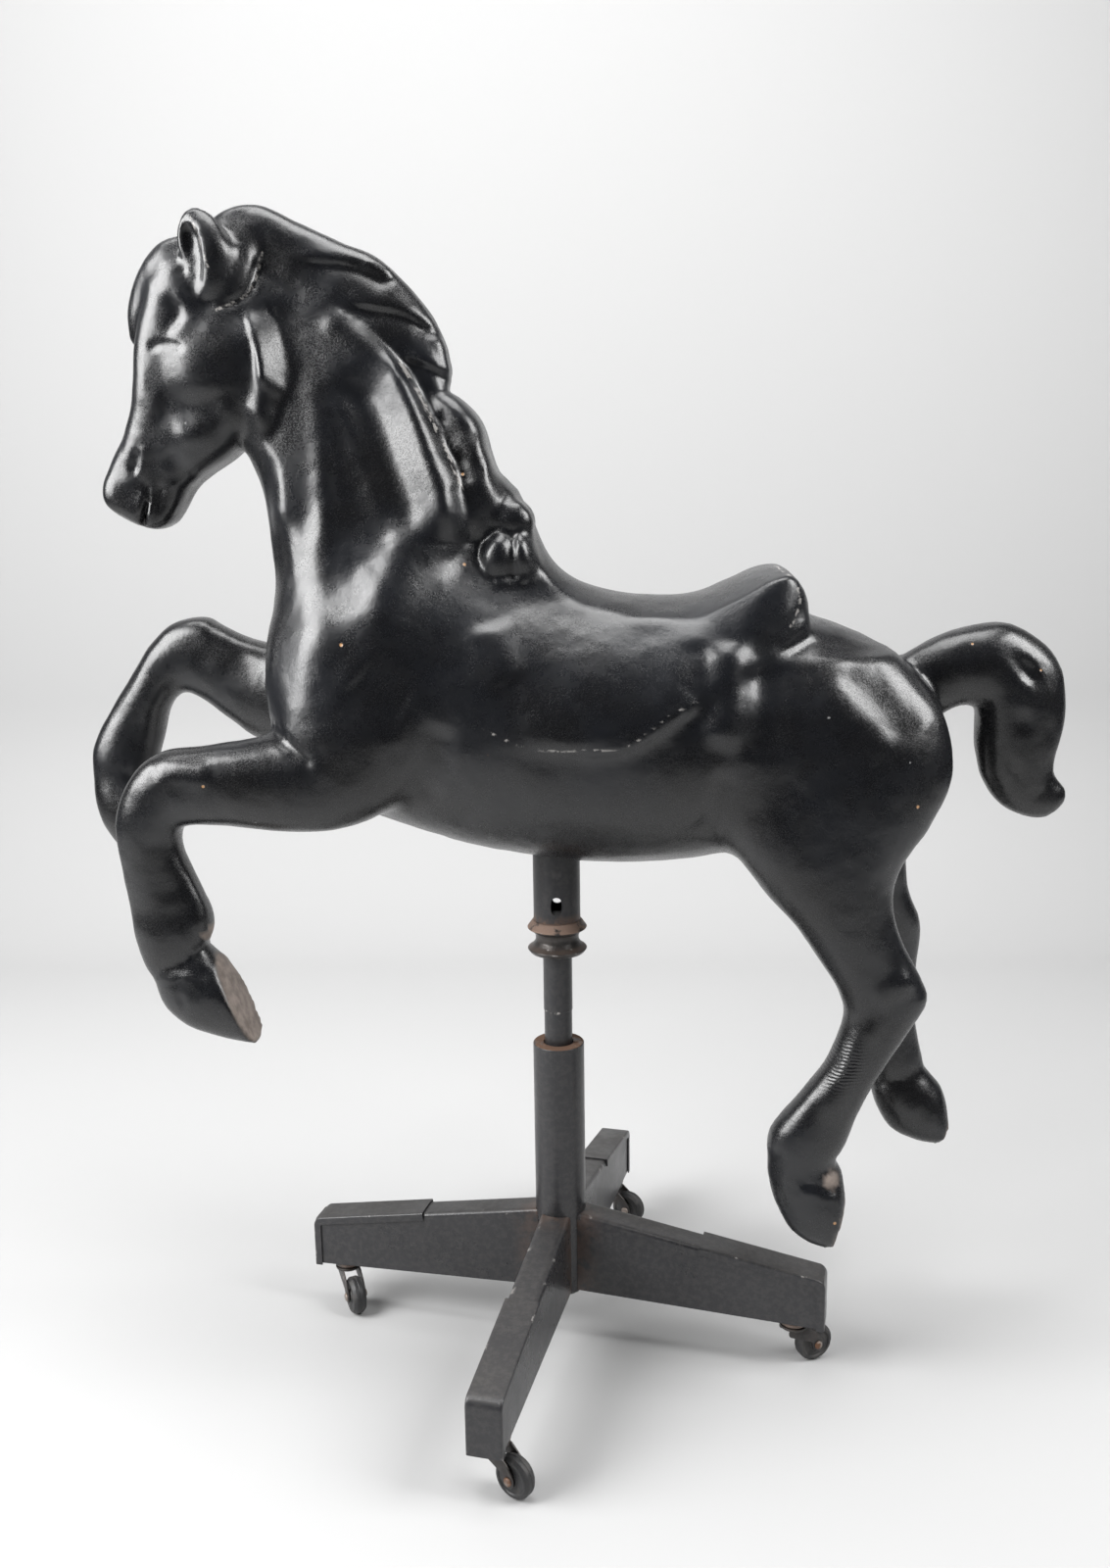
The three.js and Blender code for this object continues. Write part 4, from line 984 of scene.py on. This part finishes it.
def eased(profile, size, closed=True, steps=4):
    """The profile with rounded corners, as rows of two coordinates and a share of wear.

    Each corner becomes (1 - t)**2 * A + 2 * t * (1 - t) * corner + t**2 * B, where A and B lie on its
    two sides at the distance size. One more point beyond each of them keeps the flats flat. The wear
    is sin(pi * t). An open profile keeps its two ends.
    """
    corners = np.array(profile, float)
    before, after = np.roll(corners, 1, axis=0) - corners, np.roll(corners, -1, axis=0) - corners
    run_before, run_after = np.hypot(*before.T)[:, None], np.hypot(*after.T)[:, None]
    reach = np.minimum(size, 0.3 * np.minimum(run_before, run_after))
    before, after = (before / run_before * reach)[:, None], (after / run_after * reach)[:, None]
    t = np.linspace(0, 1, steps + 1)[None, :, None]
    curve = (1 - t) ** 2 * before + t**2 * after
    rows = corners[:, None] + np.concatenate([1.5 * before, curve, 1.5 * after], axis=1)
    wear = np.concatenate([[0], np.sin(math.pi * t[0, :, 0]), [0]])
    rows = np.concatenate([rows, np.broadcast_to(wear[None, :, None], rows.shape[:2] + (1,))], axis=2)
    if closed:
        return rows.reshape(-1, 3)
    ends = np.hstack([corners[[0, -1]], [[0], [0]]])
    return np.concatenate([ends[:1], rows[1:-1].reshape(-1, 3), ends[1:]])


def turned(profile, closed=True, sides=72):
    """A profile turned about its axis: each row's radius and height give x = radius * cos(a),
    y = radius * sin(a), z = height. Returns points, faces and wear; an open profile gets flat ends."""
    a = np.linspace(0, 2 * math.pi, sides, endpoint=False)[:, None]
    radius, height, wear = np.array(profile, float).T
    points = np.stack([radius * np.cos(a), radius * np.sin(a), height + 0 * a], -1).reshape(-1, 3)
    faces = quads(sides, len(radius), True, closed).tolist()
    if not closed:
        ring = np.arange(sides) * len(radius)
        faces += [ring.tolist(), (ring + len(radius) - 1).tolist()]
    return points, faces, np.tile(wear, sides)


rusty_steel = steel_finish("rusty_steel", (0.040, 0.038, 0.037), dust=(0.14, 0.10, 0.08),
                           rust=(0.30, 0.21, 0.165), rust_from=0.7, roughness=0.33, metallic=0.4,
                           depth=0.0004)
BORE, UPPER_FLANGE = 16.5, 499
collar_shape = turned(eased([
    [BORE, COLLAR_FOOT], [29.5, COLLAR_FOOT], [COLLAR_RADIUS, 475.2], [27.5, 479.4], [24.2, 484], [23.8, 489],
    [25.6, 494], [COLLAR_RADIUS, UPPER_FLANGE], [27, COLLAR_TOP], [BORE, COLLAR_TOP],
], 1.6))
steel_piece("collar", collar_shape, "root", rusty_steel,
            0.05 + 1.6 * (collar_shape[0][:, 2] > UPPER_FLANGE))

# ---- the rod ----
# A painted steel rod that carries the collar and slides down into the column. It is a hair thicker
# above a seam, and bright metal shows there.

rod_low, rod_high = box_mm("spindle")
ROD_FOOT, ROD_TOP, ROD_SEAM = rod_low[2], rod_high[2], 402.0
ROD_RADIUS = (rod_high[1] - rod_low[1]) / 2
THIN = ROD_RADIUS - 0.6  # its radius below the seam
AXIS = 0.5               # the radius at which a solid turned piece is closed
rod_points, rod_faces, _ = turned(eased([
    [AXIS, ROD_FOOT], [THIN, ROD_FOOT], [THIN, ROD_SEAM - 2], [THIN, ROD_SEAM], [ROD_RADIUS, ROD_SEAM + 0.6],
    [ROD_RADIUS, ROD_SEAM + 2.6], [ROD_RADIUS, ROD_TOP], [AXIS, ROD_TOP],
], 0.3, closed=False), closed=False)
at_seam = 1.0 * (np.abs(rod_points[:, 2] - ROD_SEAM - 0.3) < 1)
steel_piece("spindle", (rod_points, rod_faces, at_seam), "root", charcoal)

# ---- the column ----
# A painted steel tube, closed at its foot, with a ring in its mouth that the rod slides through. Its
# edges are chipped, and its sawn upper end has rusted.

COLUMN_FOOT, COLUMN_TOP = column_low[2], column_high[2]
COLUMN_RADIUS = (column_high[1] - column_low[1]) / 2
TUBE_INSIDE, RING_INSIDE, FLOOR = 25.6, 16.7, 66
column_points, column_faces, wear = turned(eased([
    [AXIS, COLUMN_FOOT], [24.8, COLUMN_FOOT], [COLUMN_RADIUS, 64], [COLUMN_RADIUS, 362.4],
    [27.6, COLUMN_TOP], [RING_INSIDE, COLUMN_TOP], [RING_INSIDE, 339.6], [TUBE_INSIDE, 333.6],
    [TUBE_INSIDE, FLOOR], [AXIS, FLOOR],
], 0.8, closed=False), closed=False)
steel_piece("column", (column_points, column_faces, 0.3 * wear), "root", charcoal,
            4 * (column_points[:, 2] > COLUMN_TOP - 0.5))

# ---- the arms and their covers ----
# Four pressed steel channels, open below, run out from the column and taper to their ends. A sheet
# cover laps over the outer part of each and folds down over its end. Painted with the post, they are
# dusty on top, rusty beside the column and chipped along the edges and at the covers' bends.

ARM_TURN, ARM_REACH, ARM_HALF, ARM_WALL = -13.5, 305.0, 17.4, 2.6
ARM_NAMES = ["right", "back", "left", "front"]
TOP_AT_END, TOP_AT_POST = 115.4, 162.4  # the heights of the covers' tops
FOOT_AT_END, FOOT_AT_POST = 56.6, 66    # and of the arms' lower edges
COVER_START, COVER_WALL, COVER_FLANGE, COVER_BEND = 165.0, 1.5, 9.0, 12.0


def arm_top(out):
    """The height of the covers' tops at a distance out from the post."""
    return TOP_AT_END + (TOP_AT_POST - TOP_AT_END) / (ARM_REACH - COLUMN_RADIUS) * (ARM_REACH - out)


def arm_foot(out):
    """The height of the arms' lower edges at a distance out from the post."""
    return FOOT_AT_END + (FOOT_AT_POST - FOOT_AT_END) / (ARM_REACH - COLUMN_RADIUS) * (ARM_REACH - out)


def strip(outer, inner, wear):
    """A bent strip between two grids of points, one row of each at every station along it."""
    ring = np.concatenate([outer, inner[:, ::-1]], axis=1)
    stations, around_it = ring.shape[:2]
    faces = quads(stations, around_it, False, True).tolist()
    near = np.arange(around_it // 2 - 1)
    for first in (0, (stations - 1) * around_it):
        faces += (first + np.stack([near, near + 1, around_it - 2 - near, around_it - 1 - near], -1)).tolist()
    return ring.reshape(-1, 3), faces, np.concatenate([wear, wear[:, ::-1]], axis=1).ravel()


def about_post(shape, degrees):
    """A shape turned about the post."""
    points, faces, wear = shape
    c, s = math.cos(math.radians(degrees)), math.sin(math.radians(degrees))
    return points @ np.array([[c, s, 0], [-s, c, 0], [0, 0, 1]]), faces, wear


def hat(half, size, depth):
    """The section of a channel from one foot over its top to the other: across, down and wear."""
    return eased([[half, depth], [half, 0], [-half, 0], [-half, depth]], size, closed=False, steps=6)


def arm_wall(half, size, drop):
    """One face of an arm, with a row for each station: it starts on the column's curve."""
    across, down, wear = hat(half, size, 60).T
    start = np.sqrt((COLUMN_RADIUS + GAP) ** 2 - across**2)
    level = np.ones(len(across))
    last = ARM_REACH - COVER_WALL - GAP
    out = np.stack([start, start + 0.6, 55 * level, 90 * level, (last - 0.6) * level, last * level])
    feet = np.arange(len(across)) % (len(across) - 1) == 0
    up = np.where(feet, arm_foot(out), arm_top(out) - COVER_WALL - drop - down)
    return np.stack([out, np.broadcast_to(across, out.shape), up], -1), np.broadcast_to(wear, out.shape)


outer, wear = arm_wall(ARM_HALF, 6, 0)
inner, _ = arm_wall(ARM_HALF - ARM_WALL, 3.4, ARM_WALL)
arm_shape = strip(outer, inner, 0.4 * wear)
arm_rust = 0.4 * np.clip(1.6 - arm_shape[0][:, 0] / 30, 0, 1)

# A cover's path runs along the arm's top, round the bend and down the end.
slant = math.atan2(TOP_AT_POST - TOP_AT_END, ARM_REACH - COLUMN_RADIUS)
bend_start = ARM_REACH - COVER_BEND
straight = np.array([COVER_START, COVER_START + 0.6, bend_start - 2])
turning = -slant - (math.pi / 2 - slant) * np.linspace(0, 1, 10)[1:]
path = np.vstack([
    np.stack([straight, arm_top(straight)], 1),
    np.stack([bend_start - COVER_BEND * np.sin(turning),
              arm_top(bend_start) - COVER_BEND + COVER_BEND * np.cos(turning)], 1),
    [[ARM_REACH, 70], [ARM_REACH, 55.2], [ARM_REACH, 54.6]],
])
heading = np.concatenate([np.full(3, -slant), turning, np.full(3, -math.pi / 2)])
wear_along = np.concatenate([[0.5, 0, 0], np.sin(np.linspace(0, math.pi, 9)), [0, 0.3, 0.6]])


def cover_wall(half, size, drop):
    """One face of a cover: its section is carried along the path, square to it."""
    across, down, wear = hat(half, size, COVER_FLANGE - drop).T
    down = down + drop
    out = path[:, 0, None] + down * np.sin(heading)[:, None]
    up = path[:, 1, None] + GAP - down * np.cos(heading)[:, None]
    wear = np.maximum(0.5 * wear, wear * wear_along[:, None])
    return np.stack([out, np.broadcast_to(across, out.shape), up], -1), wear


outer, wear = cover_wall(ARM_HALF + COVER_WALL + GAP, 7.2, 0)
inner, _ = cover_wall(ARM_HALF + GAP, 5.7, COVER_WALL)
cover_shape = strip(outer, inner, wear)
for i, arm_name in enumerate(ARM_NAMES):
    turn = ARM_TURN + 90 * i
    steel_piece("arm_" + arm_name, about_post(arm_shape, turn), "root", charcoal, arm_rust)
    steel_piece("cover_" + arm_name, about_post(cover_shape, turn), "root", charcoal)

# ---- the casters ----
# Four small swivel casters. Each hangs from a plate in its arm by a raceway with a stem, and has a
# stamped steel fork, a riveted axle and a hard rubber wheel. The steel is dark and lightly rusted.

wheel_low, wheel_high = box_mm("wheel_right")
WHEEL_RADIUS = (wheel_high[2] - wheel_low[2]) / 2
CASTER_REACH, TRAIL = 270.0, 26.3  # from the post to a stem, and from the stem to the axle
TRAILS = [24, -28, -64, -38]       # the way each wheel trails from its stem, in degrees

fork_steel = steel_finish("fork_steel", (0.026, 0.025, 0.025), dust=(0.06, 0.05, 0.045),
                          rust=(0.11, 0.065, 0.045), rust_from=0.66, roughness=0.36, metallic=0.2)
rivet_steel = steel_finish("rivet_steel", (0.28, 0.26, 0.24), dust=(0.2, 0.17, 0.14), rust=(0.2, 0.11, 0.07),
                           rust_from=0.5, roughness=0.42, metallic=0.8)
rubber, tree, shader = new_material("hard_rubber", 0)
scuffs = grouped(tree, patches, Scale=70, From=0.45, To=0.65)
wire(tree, (mix(tree, scuffs, (0.022, 0.022, 0.023), (0.055, 0.052, 0.05)), shader.inputs["Base Color"]),
     (spread(tree, scuffs, 0, 1, 0.5, 0.68), shader.inputs["Roughness"]),
     (grouped(tree, grain, Scale=500, Depth=0.0002), shader.inputs["Normal"]))

raceway_shape = turned(eased([
    [AXIS, 42], [5.5, 42], [5.5, 47.1], [3.5, 47.1], [3.5, 50.3], [13, 50.3], [16.5, 53.5], [16.5, 56],
    [13, 60.7], [5, 60.7], [5, 80], [AXIS, 80],
], 0.7, closed=False), closed=False, sides=48)
crown_shape = turned(eased([[3.8, 47.4], [15.5, 47.4], [15.5, 50], [3.8, 50]], 0.6), sides=48)
LEG = [[-12, 48.5], [12, 48.5], [24.8, 38], [32.8, 26], [32.8, 19], [29.3, 14.5], [22.3, 14.5], [18.3, 27],
       [-12, 41]]


def leg_shape(side):
    """One leg of the fork: its outline at four places through its thickness, drawn in at both faces."""
    outline = eased(LEG, 3)[:, :2]
    middle = outline.mean(axis=0)
    through = np.array([[-1, 0.97], [-0.6, 1], [0.6, 1], [1, 0.97]])
    flat = middle + (outline - middle) * through[:, 1, None, None]
    sideways = np.broadcast_to(side + through[:, :1], flat.shape[:2])
    points = np.stack([flat[..., 0], sideways, flat[..., 1]], -1)
    n = len(outline)
    faces = quads(4, n, False, True).tolist() + [list(range(n)), list(range(3 * n, 4 * n))]
    return points.reshape(-1, 3), faces, np.repeat([0.25, 0.5, 0.5, 0.25], n)


def together(*shapes):
    """Several shapes as one."""
    starts = np.cumsum([0] + [len(points) for points, _, _ in shapes])
    faces = [[start + k for k in face] for start, (_, each, _) in zip(starts, shapes) for face in each]
    return np.vstack([s[0] for s in shapes]), faces, np.concatenate([s[2] for s in shapes])


def on_axle(shape):
    """A shape turned over from the upright axis onto the wheel's axle."""
    points, faces, wear = shape
    return points[:, [0, 2, 1]] + [TRAIL, 0, WHEEL_RADIUS], faces, wear


fork_shape = together(crown_shape, leg_shape(10.2), leg_shape(-10.2))
axle_shape = on_axle(turned(eased([
    [AXIS, -13.3], [4, -13.3], [5, -11.5], [3, -11.5], [3, 11.5], [5, 11.5], [4, 13.3], [AXIS, 13.3],
], 0.5, closed=False), closed=False, sides=32))
wheel_shape = on_axle(turned(eased([
    [3.3, -8], [7.5, -8], [8.5, -6.6], [15, -6.6], [16.2, -8], [18.6, -8], [WHEEL_RADIUS, -4],
    [WHEEL_RADIUS, -0.6], [WHEEL_RADIUS - 0.5, 0], [WHEEL_RADIUS, 0.6], [WHEEL_RADIUS, 4],
    [18.6, 8], [16.2, 8], [15, 6.6], [8.5, 6.6], [7.5, 8], [3.3, 8],
], 1.4)))


def at_caster(shape, i):
    """A shape of the caster, carried out to the end of arm i and turned to where its wheel trails."""
    points, faces, wear = about_post(shape, TRAILS[i])
    out = math.radians(ARM_TURN + 90 * i)
    return points + [CASTER_REACH * math.cos(out), CASTER_REACH * math.sin(out), 0], faces, wear


for i, arm_name in enumerate(ARM_NAMES):
    for part, shape, body, finish, slot, rusty in (
        ("raceway_", raceway_shape, "root", rusty_steel, "rusty_steel", 0.5),
        ("fork_", fork_shape, "caster_" + arm_name, fork_steel, "fork_steel", 0.1),
        ("axle_", axle_shape, "caster_" + arm_name, rivet_steel, "axle_steel", 0.3),
        ("wheel_", wheel_shape, "roller_" + arm_name, rubber, "wheel_rubber", 0.0),
    ):
        steel_piece(part + arm_name, at_caster(shape, i), body, finish, rusty)

# ---- the studio ----
# A white paper sweep lies under and behind the horse. Soft boxes stand to its left and right and hang
# over it, and a long one lights the paper behind. The rest of the room is dark.

SWEEP_FRONT, SWEEP_BACK, SWEEP_BEND, SWEEP_TOP, SWEEP_HALF = -2.6, 1.8, 0.5, 3.4, 3.2
bend = np.linspace(0, math.pi / 2, 17)
profile = np.concatenate([
    [[SWEEP_FRONT, 0]],
    np.stack([SWEEP_BACK - SWEEP_BEND + SWEEP_BEND * np.sin(bend),
              SWEEP_BEND - SWEEP_BEND * np.cos(bend)], 1),
    [[SWEEP_BACK, SWEEP_TOP]],
])
sweep_edges = np.repeat([-SWEEP_HALF, SWEEP_HALF], len(profile))[:, None]
sweep_points = np.hstack([sweep_edges, np.tile(profile, (2, 1))])
sweep_mesh = bpy.data.meshes.new("paper_sweep")
sweep_mesh.from_pydata(sweep_points, [], quads(2, len(profile), False, False))
sweep_mesh.shade_smooth()
sweep = bpy.data.objects.new("paper_sweep", sweep_mesh)
bpy.context.scene.collection.objects.link(sweep)
white, _, shader = new_material("white_paper", 0)
shader.inputs["Base Color"].default_value = (0.42, 0.42, 0.42, 1)
shader.inputs["Roughness"].default_value = 0.7
sweep_mesh.materials.append(white)


def soft_box(name, place, aim, size, power):
    """A lamp as wide and as long as size, at a place, turned to face another."""
    lamp = bpy.data.lights.new(name, "AREA")
    lamp.shape = "RECTANGLE"
    lamp.size, lamp.size_y = size
    lamp.energy = power
    holder = bpy.data.objects.new(name, lamp)
    facing = (Vector(place) - Vector(aim)).to_track_quat("Z", "Y").to_matrix().to_4x4()
    holder.matrix_world = Matrix.Translation(place) @ facing
    bpy.context.scene.collection.objects.link(holder)


soft_box("left_box", (-1.85, -0.75, 1.85), (0, 0, 0.75), (1.4, 2.0), 122)
soft_box("right_box", (1.85, -0.6, 2.05), (0, 0, 0.75), (1.15, 1.6), 72)
soft_box("top_box", (0.0, -0.25, 3.3), (0.0, -0.1, 0), (1.5, 1.1), 40)
soft_box("paper_box", (-0.4, 0.6, 3.3), (-0.2, 1.75, 0.9), (3.0, 0.7), 42)
room = bpy.data.worlds.new("dark_room")
room.use_nodes = True
room.node_tree.nodes["Background"].inputs["Color"].default_value = (0.012, 0.012, 0.013, 1)
bpy.context.scene.world = room

# ---- the camera ----
# The camera stands on the horse's near side, a metre and a half from its middle and as high as its
# neck. It looks down by nearly 12 degrees, a little to the left, and leans by less than 1 degree.

STAND = (0.0242, -1.4834, 0.9679)
DOWN, TO_RIGHT, LEAN = math.radians(11.7083), math.radians(-1.2735), math.radians(-0.7648)
camera_data = bpy.data.cameras.new("camera")
camera_data.sensor_fit = "VERTICAL"
camera_data.sensor_height = 36
camera_data.lens = 31.9626
camera = bpy.data.objects.new("camera", camera_data)
ahead = Vector((math.sin(TO_RIGHT) * math.cos(DOWN), math.cos(TO_RIGHT) * math.cos(DOWN), -math.sin(DOWN)))
right = Vector((math.cos(TO_RIGHT), -math.sin(TO_RIGHT), 0))
above = right.cross(ahead)
tilted_right = right * math.cos(LEAN) + above * math.sin(LEAN)
tilted_up = above * math.cos(LEAN) - right * math.sin(LEAN)
camera_axes = Matrix((tilted_right, tilted_up, -ahead)).transposed()
camera.matrix_world = Matrix.Translation(STAND) @ camera_axes.to_4x4()
bpy.context.scene.collection.objects.link(camera)
bpy.context.scene.camera = camera
bpy.context.scene.view_settings.view_transform = "Standard"
